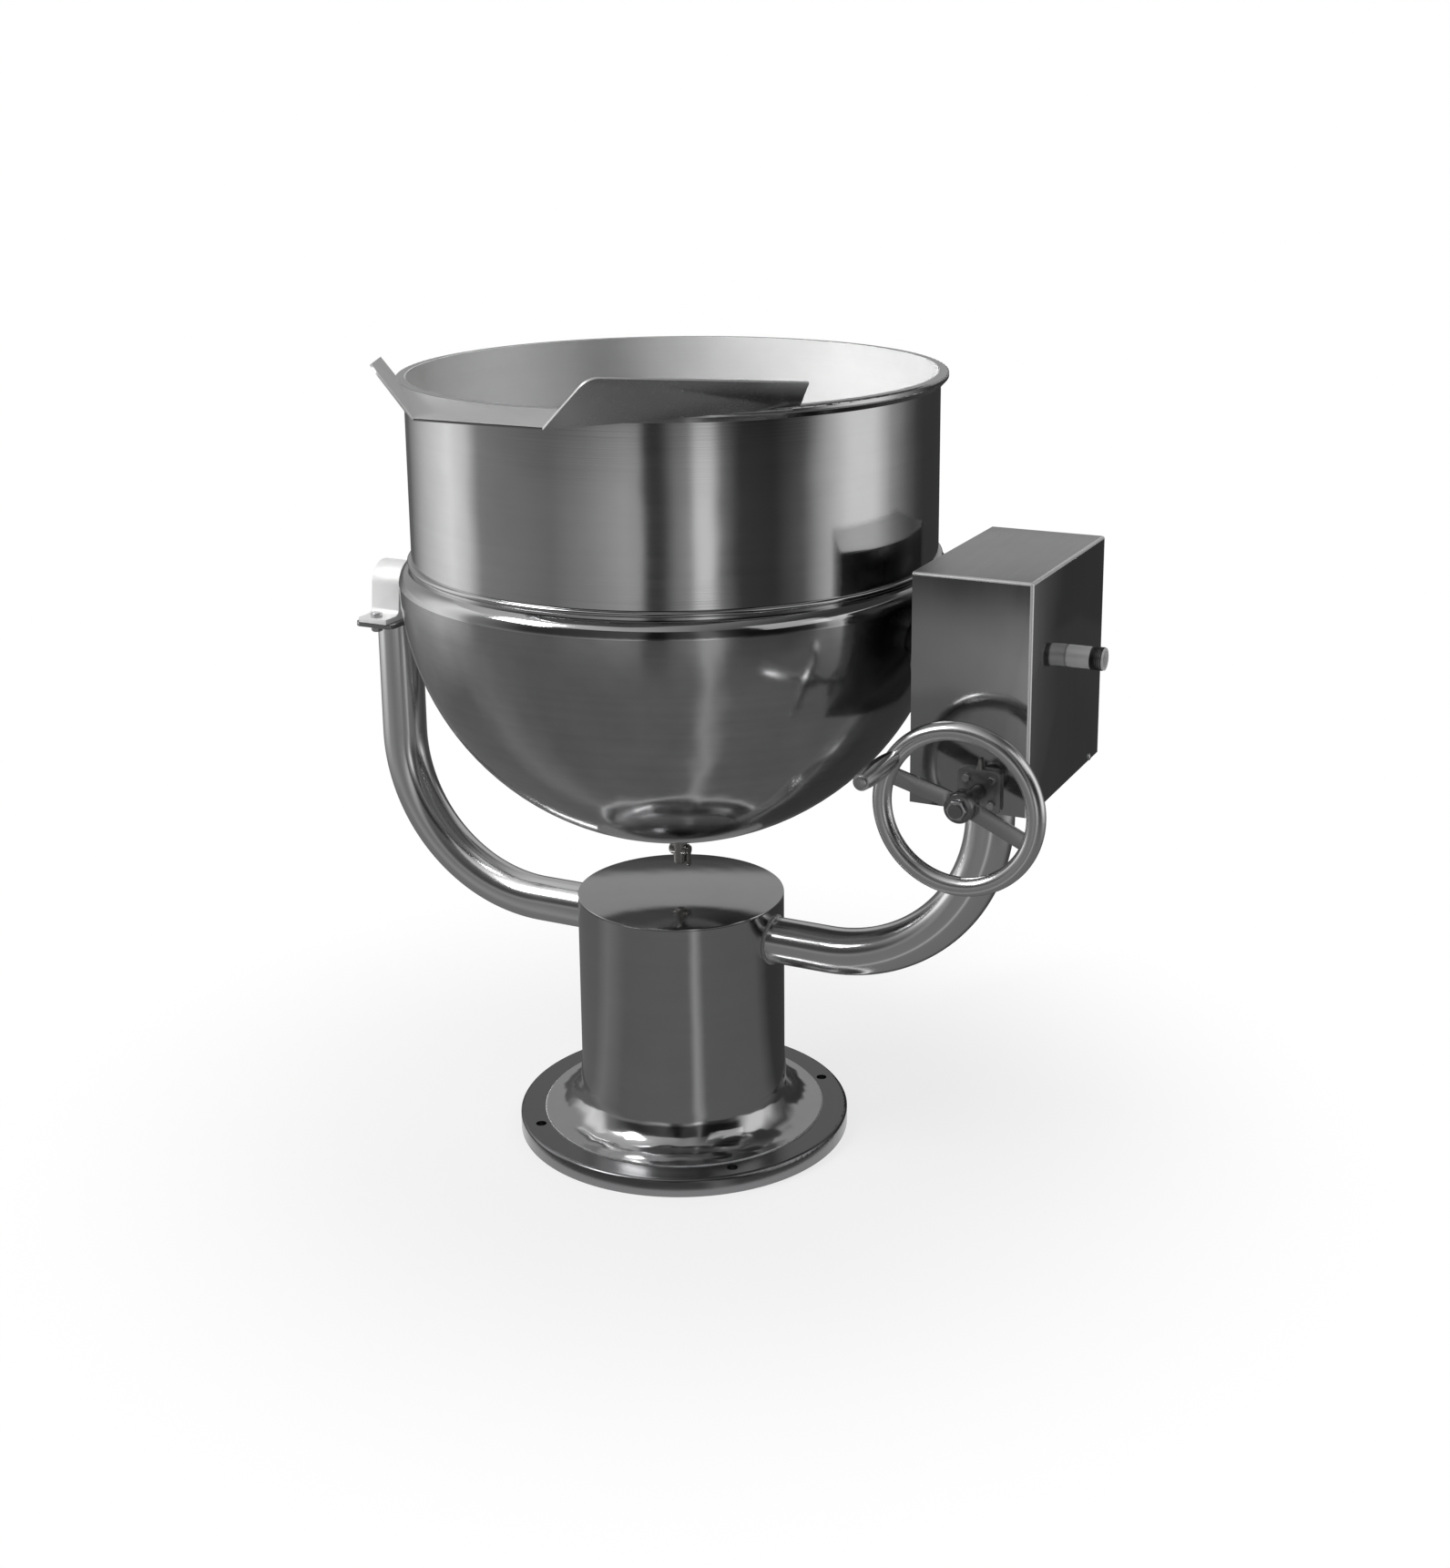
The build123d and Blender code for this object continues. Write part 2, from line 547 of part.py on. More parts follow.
# ------------------------------------------------------------------ worm wheel sector
# Local x points down at the worm, local y points back and local z is +X.
# The tooth gap nearest the worm stands on the centre line, where a worm thread crosses it.
wheel_plane = Plane(origin=(wheel_x, 0, TILT_AXIS_HEIGHT), x_dir=(0, 0, -1), z_dir=(1, 0, 0))
sector_teeth = SECTOR_FRONT_TEETH + SECTOR_BACK_TEETH
sector_start = -SECTOR_FRONT_TEETH * tooth_step
first_tooth = sector_start + tooth_step / 2

with BuildPart() as tooth_form:
    with BuildSketch(Plane.XY):
        with BuildLine():
            Polyline(
                (ADDENDUM, tooth_tip_half),
                (-DEDENDUM, tooth_root_half),
                (-DEDENDUM - TOOTH_ROOTING, tooth_root_half),
                (-DEDENDUM - TOOTH_ROOTING, -tooth_root_half),
                (-DEDENDUM, -tooth_root_half),
                (ADDENDUM, -tooth_tip_half),
                close=True,
            )
        make_face()
    extrude(amount=WHEEL_FACE_WIDTH, both=True)
slanted_tooth = tooth_form.part.rotate(Axis.X, -lead_angle) & Box(
    4 * (ADDENDUM + DEDENDUM), 4 * worm_pitch, WHEEL_FACE_WIDTH
)

with BuildPart(wheel_plane) as worm_wheel_sector:
    with BuildSketch(wheel_plane):
        with BuildLine():
            sector_arc = CenterArc((0, 0), wheel_root_radius, sector_start, sector_teeth * tooth_step)
            Line((0, 0), sector_arc @ 0)
            Line((0, 0), sector_arc @ 1)
        make_face()
    extrude(amount=WHEEL_FACE_WIDTH / 2, both=True)
    with BuildSketch(wheel_plane):
        Circle(WHEEL_HUB_RADIUS)
    extrude(amount=WHEEL_HUB_LENGTH / 2, both=True)
    with PolarLocations(
        wheel_pitch_radius,
        sector_teeth,
        start_angle=first_tooth,
        angular_range=(sector_teeth - 1) * tooth_step,
        endpoint=True,
    ):
        add(slanted_tooth)
    with BuildSketch(wheel_plane):
        Circle(WHEEL_SEAT_RADIUS)
        with Locations((-WHEEL_SEAT_RADIUS, 0)):
            Rectangle(WHEEL_KEY_HEIGHT, WHEEL_KEY_WIDTH)
    extrude(amount=WHEEL_HUB_LENGTH, both=True, mode=Mode.SUBTRACT)
save(worm_wheel_sector.part, "worm_wheel_sector")

with BuildPart() as worm_wheel_key:
    with Locations((wheel_x, 0, TILT_AXIS_HEIGHT + WHEEL_SEAT_RADIUS)):
        Box(
            WHEEL_HUB_LENGTH - 2 * FIT_CLEARANCE,
            WHEEL_KEY_WIDTH - 2 * FIT_CLEARANCE,
            WHEEL_KEY_HEIGHT - 2 * FIT_CLEARANCE,
        )
save(worm_wheel_key.part, "worm_wheel_key")

# ------------------------------------------------------------------ worm shaft
front_bearing_y = console_front_y - FRONT_BEARING_FLANGE
front_bearing_inner_y = console_front_y + CONSOLE_SHEET + FRONT_BEARING_BARREL
front_collar_y = front_bearing_inner_y + COLLAR_PLAY
rear_block_y = CONSOLE_DEPTH / 2 - REAR_BLOCK_INSET
rear_collar_y = rear_block_y - COLLAR_PLAY - COLLAR_WIDTH
hub_front_y = hub_y - HUB_LENGTH / 2
hub_back_y = hub_y + HUB_LENGTH / 2
shaft_front_y = hub_front_y - HUB_NUT_HEIGHT - SHOULDER_PLAY
shaft_rear_y = rear_block_y + REAR_BLOCK_LENGTH + SHOULDER_PLAY

with BuildPart() as worm_shaft:
    with BuildSketch(worm_front.offset(-shaft_rear_y)):
        Circle(WORM_SHAFT_RADIUS)
    extrude(amount=shaft_rear_y - hub_back_y)
    with BuildSketch(worm_front.offset(-hub_back_y)):
        Circle(HUB_SEAT_RADIUS)
    extrude(amount=hub_back_y - shaft_front_y)
    with BuildSketch(worm_front):
        Circle(worm_core_radius)
    extrude(amount=(worm_length + worm_pitch) / 2, both=True)
    with BuildLine() as thread_path:
        Helix(
            worm_pitch,
            worm_length,
            WORM_PITCH_RADIUS,
            center=(wheel_x, -worm_length / 2, worm_z),
            direction=(0, 1, 0),
        )
    thread_start = thread_path.line
    with BuildSketch(Plane(origin=thread_start @ 0, x_dir=(0, 0, 1), z_dir=thread_start % 0)):
        with BuildLine():
            Polyline(
                (ADDENDUM, tooth_tip_half),
                (-DEDENDUM - TOOTH_ROOTING, tooth_root_half + TOOTH_ROOTING * flank_slope),
                (-DEDENDUM - TOOTH_ROOTING, -tooth_root_half - TOOTH_ROOTING * flank_slope),
                (ADDENDUM, -tooth_tip_half),
                close=True,
            )
        make_face()
    sweep(path=thread_start, is_frenet=True)
    with Locations((wheel_x, hub_y, worm_z + HUB_SEAT_RADIUS)):
        Box(HUB_KEY_WIDTH, HUB_LENGTH, HUB_KEY_WIDTH, mode=Mode.SUBTRACT)
save(worm_shaft.part, "worm_shaft")

with BuildPart() as thrust_collars:
    for collar_y in (front_collar_y, rear_collar_y):
        with BuildSketch(worm_front.offset(-collar_y - COLLAR_WIDTH)):
            Circle(COLLAR_RADIUS)
            Circle(WORM_SHAFT_RADIUS, mode=Mode.SUBTRACT)
        extrude(amount=COLLAR_WIDTH)
save(thrust_collars.part, "thrust_collars")

# ------------------------------------------------------------------ handwheel
with BuildPart() as handwheel_rim:
    with BuildSketch(Plane(origin=(wheel_x, handwheel_y, worm_z), x_dir=(1, 0, 0), z_dir=(0, 0, 1))):
        with Locations((WHEEL_RIM_RADIUS, 0)):
            Circle(WHEEL_RIM_TUBE_RADIUS)
    revolve(axis=Axis((wheel_x, handwheel_y, worm_z), (0, 1, 0)))
    with BuildSketch(worm_front.offset(-handwheel_y)):
        with PolarLocations(WHEEL_RIM_RADIUS, 1, start_angle=HANDLE_ANGLE):
            Circle(HANDLE_SPINDLE_RADIUS)
    extrude(amount=2 * WHEEL_RIM_TUBE_RADIUS, both=True, mode=Mode.SUBTRACT)
save(handwheel_rim.part, "handwheel_rim")

# The spokes are one flat bar through the hub, dished so that the hub stands behind the rim's plane.
# The bar is drawn edge on: local x runs along it and local y points back.
spoke_angle = math.radians(SPOKE_ANGLE)
spoke_direction = Vector(math.cos(spoke_angle), 0, math.sin(spoke_angle))
spoke_plane = Plane(
    origin=(wheel_x, hub_y, worm_z),
    x_dir=spoke_direction,
    z_dir=spoke_direction.cross(Vector(0, 1, 0)),
)
with BuildPart() as handwheel_spokes:
    with BuildSketch(spoke_plane):
        with BuildLine():
            Polyline(
                (-WHEEL_RIM_RADIUS, -SPOKE_DISH - SPOKE_THICKNESS / 2),
                (-SPOKE_FLAT_HALF, -SPOKE_THICKNESS / 2),
                (SPOKE_FLAT_HALF, -SPOKE_THICKNESS / 2),
                (WHEEL_RIM_RADIUS, -SPOKE_DISH - SPOKE_THICKNESS / 2),
                (WHEEL_RIM_RADIUS, -SPOKE_DISH + SPOKE_THICKNESS / 2),
                (SPOKE_FLAT_HALF, SPOKE_THICKNESS / 2),
                (-SPOKE_FLAT_HALF, SPOKE_THICKNESS / 2),
                (-WHEEL_RIM_RADIUS, -SPOKE_DISH + SPOKE_THICKNESS / 2),
                close=True,
            )
        make_face()
    extrude(amount=SPOKE_WIDTH / 2, both=True)
    with BuildSketch(worm_front.offset(-hub_back_y)):
        Circle(HUB_RADIUS)
    extrude(amount=HUB_LENGTH, mode=Mode.SUBTRACT)
    with BuildSketch(Plane(origin=(wheel_x, handwheel_y, worm_z), x_dir=(1, 0, 0), z_dir=(0, 0, 1))):
        with Locations((WHEEL_RIM_RADIUS, 0)):
            Circle(WHEEL_RIM_TUBE_RADIUS)
    revolve(axis=Axis((wheel_x, handwheel_y, worm_z), (0, 1, 0)), mode=Mode.SUBTRACT)
    with BuildSketch(worm_front.offset(-hub_back_y)):
        Circle(WHEEL_RIM_RADIUS)
    extrude(amount=2 * HUB_LENGTH, mode=Mode.INTERSECT)
save(handwheel_spokes.part, "handwheel_spokes")

with BuildPart() as handwheel_hub:
    with BuildSketch(worm_front.offset(-hub_back_y)):
        Circle(HUB_RADIUS)
        Circle(HUB_SEAT_RADIUS, mode=Mode.SUBTRACT)
    extrude(amount=HUB_LENGTH)
    with Locations((wheel_x, hub_y, worm_z + HUB_SEAT_RADIUS)):
        Box(HUB_KEY_WIDTH, HUB_LENGTH, HUB_KEY_WIDTH, mode=Mode.SUBTRACT)
save(handwheel_hub.part, "handwheel_hub")

with BuildPart() as hub_key:
    with Locations((wheel_x, hub_y, worm_z + HUB_SEAT_RADIUS)):
        Box(HUB_KEY_WIDTH - 2 * FIT_CLEARANCE, HUB_LENGTH, HUB_KEY_WIDTH - 2 * FIT_CLEARANCE)
save(hub_key.part, "hub_key")

with BuildPart() as hub_nut:
    with BuildSketch(worm_front.offset(-hub_front_y)):
        RegularPolygon(HUB_NUT_RADIUS, 6)
        Circle(HUB_SEAT_RADIUS, mode=Mode.SUBTRACT)
    extrude(amount=HUB_NUT_HEIGHT)
save(hub_nut.part, "hub_nut")

# Revolving handle: the grip turns on a spindle that is riveted through the rim
grip_back_y = handwheel_y - WHEEL_RIM_TUBE_RADIUS - HANDLE_PLAY
grip_front_y = grip_back_y - HANDLE_LENGTH
spindle_head_y = grip_front_y - HANDLE_PLAY
handle_x = wheel_x + WHEEL_RIM_RADIUS * math.cos(math.radians(HANDLE_ANGLE))
handle_z = worm_z + WHEEL_RIM_RADIUS * math.sin(math.radians(HANDLE_ANGLE))
handle_axis = Plane(origin=(handle_x, 0, handle_z), x_dir=(1, 0, 0), z_dir=(0, -1, 0))
with BuildPart() as handle_spindle:
    with BuildSketch(handle_axis.offset(-handwheel_y - WHEEL_RIM_TUBE_RADIUS)):
        Circle(HANDLE_SPINDLE_RADIUS)
    extrude(amount=handwheel_y + WHEEL_RIM_TUBE_RADIUS - spindle_head_y)
    with BuildSketch(handle_axis.offset(-spindle_head_y)):
        Circle(SPINDLE_HEAD_RADIUS)
    extrude(amount=SPINDLE_HEAD_HEIGHT)
save(handle_spindle.part, "handle_spindle")

grip_plane = Plane(origin=(handle_x, grip_back_y, handle_z), x_dir=(1, 0, 0), z_dir=(0, 0, 1))
grip_bore = HANDLE_SPINDLE_RADIUS + RUNNING_CLEARANCE
with BuildPart() as handle_grip:
    with BuildSketch(grip_plane):
        with BuildLine():
            Line((grip_bore, 0), (HANDLE_BASE_RADIUS, 0))
            Spline(
                (HANDLE_BASE_RADIUS, 0),
                (HANDLE_BELLY_RADIUS, -HANDLE_BELLY_REACH),
                (HANDLE_END_RADIUS, -HANDLE_LENGTH),
            )
            Line((HANDLE_END_RADIUS, -HANDLE_LENGTH), (grip_bore, -HANDLE_LENGTH))
            Line((grip_bore, -HANDLE_LENGTH), (grip_bore, 0))
        make_face()
    revolve(axis=Axis((handle_x, grip_back_y, handle_z), (0, 1, 0)))
save(handle_grip.part, "handle_grip")

# ------------------------------------------------------------------ pedestal
column_top = cock_bottom - COLUMN_HEADROOM
arm_exit_height = column_top - ARM_EXIT_DEPTH
base_radius = COLUMN_RADIUS + BASE_OVERHANG
anchor_circle_radius = base_radius - ANCHOR_EDGE_DISTANCE
with BuildPart() as base_flange:
    with BuildSketch(Plane.XY):
        Circle(base_radius)
        with PolarLocations(anchor_circle_radius, ANCHOR_COUNT, start_angle=ANCHOR_START_ANGLE):
            Circle(ANCHOR_HOLE_RADIUS, mode=Mode.SUBTRACT)
    extrude(amount=BASE_THICKNESS)
    fillet(base_flange.faces().sort_by(Axis.Z)[-1].edges().sort_by(Edge.length)[-1], BASE_EDGE_ROUND)
save(base_flange.part, "base_flange")

flare_x = COLUMN_RADIUS + SKIRT_SHEET + SKIRT_FLARE_RADIUS
flare_z = BASE_THICKNESS + SKIRT_SHEET + SKIRT_FLARE_RADIUS
with BuildPart() as base_skirt:
    with BuildSketch(Plane.XZ):
        with BuildLine():
            CenterArc((flare_x, flare_z), SKIRT_FLARE_RADIUS, 180, 90)
            CenterArc((flare_x, flare_z), SKIRT_FLARE_RADIUS + SKIRT_SHEET, 180, 90)
            Polyline(
                (flare_x, BASE_THICKNESS + SKIRT_SHEET),
                (flare_x + SKIRT_LIP, BASE_THICKNESS + SKIRT_SHEET),
                (flare_x + SKIRT_LIP, BASE_THICKNESS),
                (flare_x, BASE_THICKNESS),
            )
            Polyline(
                (COLUMN_RADIUS + SKIRT_SHEET, flare_z),
                (COLUMN_RADIUS + SKIRT_SHEET, flare_z + SKIRT_COLLAR),
                (COLUMN_RADIUS, flare_z + SKIRT_COLLAR),
                (COLUMN_RADIUS, flare_z),
            )
        make_face()
    revolve(axis=Axis.Z)
save(base_skirt.part, "base_skirt")

column_tube_top = column_top - TOP_COVER_SHEET
with BuildPart() as pedestal_column:
    with BuildSketch(Plane.XY.offset(BASE_THICKNESS)):
        Circle(COLUMN_RADIUS)
        Circle(COLUMN_RADIUS - COLUMN_WALL, mode=Mode.SUBTRACT)
    extrude(amount=column_tube_top - BASE_THICKNESS)
    with BuildSketch(Plane.YZ):
        with Locations((0, arm_exit_height)):
            Circle(ARM_TUBE_RADIUS)
    extrude(amount=2 * COLUMN_RADIUS, both=True, mode=Mode.SUBTRACT)
save(pedestal_column.part, "pedestal_column")

with BuildPart() as column_top_cover:
    with BuildSketch(Plane.XY.offset(column_tube_top)):
        Circle(COLUMN_RADIUS)
    extrude(amount=TOP_COVER_SHEET)
save(column_top_cover.part, "column_top_cover")

# ------------------------------------------------------------------ support arms
for side, sign, arm_top in (("left", -1, left_arm_top), ("right", 1, console_bottom)):
    with BuildPart() as arm:
        with BuildLine(Plane.XZ) as arm_path:
            FilletPolyline(
                (sign * (COLUMN_RADIUS - ARM_COLUMN_OVERLAP), arm_exit_height),
                (sign * arm_reach, arm_exit_height),
                (sign * arm_reach, arm_top),
                radius=ARM_BEND_RADIUS,
            )
        with BuildSketch(Plane(origin=arm_path.line @ 0, z_dir=arm_path.line % 0)):
            Circle(ARM_TUBE_RADIUS)
            Circle(ARM_TUBE_RADIUS - ARM_TUBE_WALL, mode=Mode.SUBTRACT)
        sweep(path=arm_path.line)
    save(arm.part, f"{side}_arm")

# ------------------------------------------------------------------ trunnion bearings
plate_width = 2 * ARM_TUBE_RADIUS
bolt_hole = BOLT_RADIUS + FIT_CLEARANCE
with BuildPart() as left_bearing_plate:
    with BuildSketch(Plane.XY.offset(left_arm_top)):
        with Locations((-arm_reach, 0)):
            RectangleRounded(plate_width, BLOCK_FOOT_LENGTH, BEARING_PLATE_ROUND)
        with Locations((-arm_reach, 0)):
            with GridLocations(1, BOLT_SPACING, 1, 2):
                Circle(bolt_hole, mode=Mode.SUBTRACT)
    extrude(amount=BEARING_PLATE_THICKNESS)
save(left_bearing_plate.part, "left_bearing_plate")

foot_top = -BLOCK_CENTRE_HEIGHT + BLOCK_FOOT_THICKNESS
for side, axis_plane, block_x in (("left", left_axis, arm_reach), ("right", right_axis, right_block_x)):
    sign = -1 if side == "left" else 1
    with BuildPart() as pillow_block:
        with BuildSketch(axis_plane.offset(block_x)) as block_outline:
            Circle(BLOCK_ARCH_RADIUS)
            with BuildLine():
                Polyline(
                    (-BLOCK_ARCH_RADIUS, 0),
                    (-BLOCK_WAIST, foot_top),
                    (BLOCK_WAIST, foot_top),
                    (BLOCK_ARCH_RADIUS, 0),
                    close=True,
                )
            make_face()
            with Locations((0, -BLOCK_CENTRE_HEIGHT + BLOCK_FOOT_THICKNESS / 2)):
                Rectangle(BLOCK_FOOT_LENGTH, BLOCK_FOOT_THICKNESS)
            waist = block_outline.vertices().filter_by(lambda v: math.isclose(abs(v.X), BLOCK_WAIST))
            fillet(waist, BLOCK_FLARE)
            Circle(bush_outer, mode=Mode.SUBTRACT)
        extrude(amount=BLOCK_WIDTH / 2, both=True)
        with BuildSketch(Plane.XY.offset(block_foot_z)):
            with Locations((sign * block_x, 0)):
                with GridLocations(1, BOLT_SPACING, 1, 2):
                    Circle(bolt_hole)
        extrude(amount=BLOCK_FOOT_THICKNESS, mode=Mode.SUBTRACT)
    save(pillow_block.part, f"{side}_pillow_block")

    with BuildPart() as bush:
        with BuildSketch(axis_plane.offset(block_x)):
            Circle(bush_outer)
            Circle(JOURNAL_RADIUS + RUNNING_CLEARANCE, mode=Mode.SUBTRACT)
        extrude(amount=BLOCK_WIDTH / 2, both=True)
    save(bush.part, f"{side}_bearing_bush")

    shank_length = BLOCK_FOOT_THICKNESS + (
        BEARING_PLATE_THICKNESS + BOLT_HEAD_HEIGHT if side == "left" else PEDESTAL_WALL
    )
    with BuildPart() as block_bolts:
        with BuildSketch(Plane.XY.offset(block_foot_z + BLOCK_FOOT_THICKNESS)):
            with Locations((sign * block_x, 0)):
                with GridLocations(1, BOLT_SPACING, 1, 2):
                    RegularPolygon(BOLT_HEAD_RADIUS, 6)
        extrude(amount=BOLT_HEAD_HEIGHT)
        with BuildSketch(Plane.XY.offset(block_foot_z + BLOCK_FOOT_THICKNESS)):
            with Locations((sign * block_x, 0)):
                with GridLocations(1, BOLT_SPACING, 1, 2):
                    Circle(BOLT_RADIUS)
        extrude(amount=-shank_length)
    save(block_bolts.part, f"{side}_block_bolts")

with BuildPart() as left_block_nuts:
    with BuildSketch(Plane.XY.offset(left_arm_top)):
        with Locations((-arm_reach, 0)):
            with GridLocations(1, BOLT_SPACING, 1, 2):
                RegularPolygon(BOLT_HEAD_RADIUS, 6)
                Circle(BOLT_RADIUS, mode=Mode.SUBTRACT)
    extrude(amount=-BOLT_HEAD_HEIGHT)
save(left_block_nuts.part, "left_block_nuts")

# ------------------------------------------------------------------ drive console
plate_inner_length = CONSOLE_DEPTH - 2 * CONSOLE_SHEET - 2 * FIT_CLEARANCE
screw_hole = COVER_SCREW_RADIUS + FIT_CLEARANCE
side_screw_plane = Plane(
    origin=(console_outer_x, 0, console_bottom + BASE_PLATE_THICKNESS / 2),
    x_dir=(0, 1, 0),
    z_dir=(1, 0, 0),
)
back_screw_z = (console_bottom + console_top) / 2
back_screw_x = console_inner_x + BACK_PLATE_THICKNESS + BACK_FLANGE_DEPTH / 2
rear_screw_plane = Plane(
    origin=(back_screw_x, CONSOLE_DEPTH / 2, back_screw_z),
    x_dir=(1, 0, 0),
    z_dir=(0, 1, 0),
)

with BuildPart() as console_base_plate:
    with BuildSketch(Plane.XY.offset(console_bottom)):
        with Locations(((console_inner_x + cover_inner_x) / 2, 0)):
            Rectangle(cover_inner_x - console_inner_x - FIT_CLEARANCE, plate_inner_length)
    extrude(amount=BASE_PLATE_THICKNESS)
    with BuildSketch(side_screw_plane):
        with GridLocations(COVER_SCREW_SPACING, 1, 2, 1):
            Circle(screw_hole)
    extrude(amount=-COVER_SCREW_LENGTH - CONSOLE_SHEET, mode=Mode.SUBTRACT)
save(console_base_plate.part, "console_base_plate")

with BuildPart() as console_cover:
    with Locations((console_centre_x, 0, (console_bottom + console_top) / 2)):
        Box(CONSOLE_WIDTH, CONSOLE_DEPTH, console_top - console_bottom)
    with Locations((console_centre_x - CONSOLE_SHEET, 0, (console_bottom + console_top) / 2 - CONSOLE_SHEET)):
        Box(
            CONSOLE_WIDTH,
            CONSOLE_DEPTH - 2 * CONSOLE_SHEET,
            console_top - console_bottom,
            mode=Mode.SUBTRACT,
        )
    with BuildSketch(worm_front.offset(CONSOLE_DEPTH / 2 - 2 * CONSOLE_SHEET)):
        Circle(worm_bush_outer)
        with GridLocations(FRONT_BEARING_BOLT_SPACING, FRONT_BEARING_BOLT_SPACING, 2, 2):
            Circle(FRONT_BOLT_RADIUS + FIT_CLEARANCE)
    extrude(amount=4 * CONSOLE_SHEET, mode=Mode.SUBTRACT)
    with BuildSketch(right_axis.offset(cover_inner_x)):
        Circle(STEAM_THREAD_RADIUS + FIT_CLEARANCE)
    extrude(amount=2 * CONSOLE_SHEET, mode=Mode.SUBTRACT)
    with BuildSketch(side_screw_plane):
        with GridLocations(COVER_SCREW_SPACING, 1, 2, 1):
            Circle(screw_hole)
    extrude(amount=-2 * CONSOLE_SHEET, mode=Mode.SUBTRACT)
    with BuildSketch(rear_screw_plane):
        with GridLocations(1, REAR_SCREW_SPACING, 1, 2):
            Circle(screw_hole)
    extrude(amount=-2 * CONSOLE_SHEET, mode=Mode.SUBTRACT)
save(console_cover.part, "console_cover")

back_plate_height = console_top - CONSOLE_SHEET - FIT_CLEARANCE - base_plate_top - FIT_CLEARANCE
back_plate_z = base_plate_top + FIT_CLEARANCE + back_plate_height / 2
with BuildPart() as console_back_plate:
    with Locations((console_inner_x + (BACK_PLATE_THICKNESS + BACK_FLANGE_DEPTH) / 2, 0, back_plate_z)):
        Box(BACK_PLATE_THICKNESS + BACK_FLANGE_DEPTH, plate_inner_length, back_plate_height)
    with Locations((console_inner_x + BACK_PLATE_THICKNESS + BACK_FLANGE_DEPTH, 0, back_plate_z)):
        Box(
            2 * BACK_FLANGE_DEPTH,
            plate_inner_length - 2 * BACK_PLATE_THICKNESS,
            back_plate_height - 2 * BACK_PLATE_THICKNESS,
            mode=Mode.SUBTRACT,
        )
    with BuildSketch(right_axis):
        Circle(TRUNNION_BOSS_RADIUS + SHOULDER_PLAY)
    extrude(amount=console_inner_x + 2 * BACK_PLATE_THICKNESS, mode=Mode.SUBTRACT)
    with BuildSketch(rear_screw_plane):
        with GridLocations(1, REAR_SCREW_SPACING, 1, 2):
            Circle(screw_hole)
    extrude(amount=-COVER_SCREW_LENGTH, mode=Mode.SUBTRACT)
save(console_back_plate.part, "console_back_plate")

with BuildPart() as cover_screws:
    with BuildSketch(side_screw_plane):
        with GridLocations(COVER_SCREW_SPACING, 1, 2, 1):
            Circle(COVER_SCREW_HEAD_RADIUS)
    extrude(amount=COVER_SCREW_HEAD_HEIGHT)
    with BuildSketch(side_screw_plane):
        with GridLocations(COVER_SCREW_SPACING, 1, 2, 1):
            Circle(COVER_SCREW_RADIUS)
    extrude(amount=-COVER_SCREW_LENGTH)
    with BuildSketch(rear_screw_plane):
        with GridLocations(1, REAR_SCREW_SPACING, 1, 2):
            Circle(COVER_SCREW_HEAD_RADIUS)
    extrude(amount=COVER_SCREW_HEAD_HEIGHT)
    with BuildSketch(rear_screw_plane):
        with GridLocations(1, REAR_SCREW_SPACING, 1, 2):
            Circle(COVER_SCREW_RADIUS)
    extrude(amount=-COVER_SCREW_LENGTH)
save(cover_screws.part, "cover_screws")

# A portal on the base plate carries the right pillow block at the height of the left one
portal_height = block_foot_z - base_plate_top
with BuildPart() as bearing_portal:
    with BuildSketch(Plane.YZ.offset(right_block_x)):
        with Locations((0, base_plate_top + portal_height / 2)):
            Rectangle(BLOCK_FOOT_LENGTH, portal_height)
        with Locations((0, base_plate_top + portal_height / 2)):
            RectangleRounded(
                BLOCK_FOOT_LENGTH - 2 * PEDESTAL_WALL,
                portal_height - 2 * PEDESTAL_WALL,
                PEDESTAL_WALL / 2,
                mode=Mode.SUBTRACT,
            )
    extrude(amount=BLOCK_WIDTH / 2, both=True)
    with BuildSketch(Plane.XY.offset(block_foot_z)):
        with Locations((right_block_x, 0)):
            with GridLocations(1, BOLT_SPACING, 1, 2):
                Circle(bolt_hole)
    extrude(amount=-PEDESTAL_WALL, mode=Mode.SUBTRACT)
save(bearing_portal.part, "bearing_portal")

# ------------------------------------------------------------------ worm bearings
grease_y = (console_front_y + front_bearing_y) / 2
with BuildPart() as worm_front_bearing:
    with BuildSketch(worm_front.offset(CONSOLE_DEPTH / 2)):
        RectangleRounded(FRONT_BEARING_SIZE, FRONT_BEARING_SIZE, FRONT_BEARING_FLANGE)
    extrude(amount=FRONT_BEARING_FLANGE)
    with BuildSketch(worm_front.offset(-front_bearing_inner_y)):
        Circle(worm_bush_outer - FIT_CLEARANCE)
    extrude(amount=front_bearing_inner_y - front_bearing_y)
    with BuildSketch(worm_front.offset(-front_bearing_inner_y)):
        Circle(WORM_SHAFT_RADIUS + RUNNING_CLEARANCE)
    extrude(amount=2 * CONSOLE_DEPTH, mode=Mode.SUBTRACT)
    with BuildSketch(worm_front.offset(CONSOLE_DEPTH / 2)):
        with GridLocations(FRONT_BEARING_BOLT_SPACING, FRONT_BEARING_BOLT_SPACING, 2, 2):
            Circle(FRONT_BOLT_RADIUS + FIT_CLEARANCE)
    extrude(amount=FRONT_BEARING_FLANGE, mode=Mode.SUBTRACT)
    with BuildSketch(Plane(origin=(wheel_x, grease_y, worm_z), z_dir=(0, 0, 1))):
        Circle(GREASE_DUCT_RADIUS)
    extrude(amount=FRONT_BEARING_SIZE, mode=Mode.SUBTRACT)
save(worm_front_bearing.part, "worm_front_bearing")

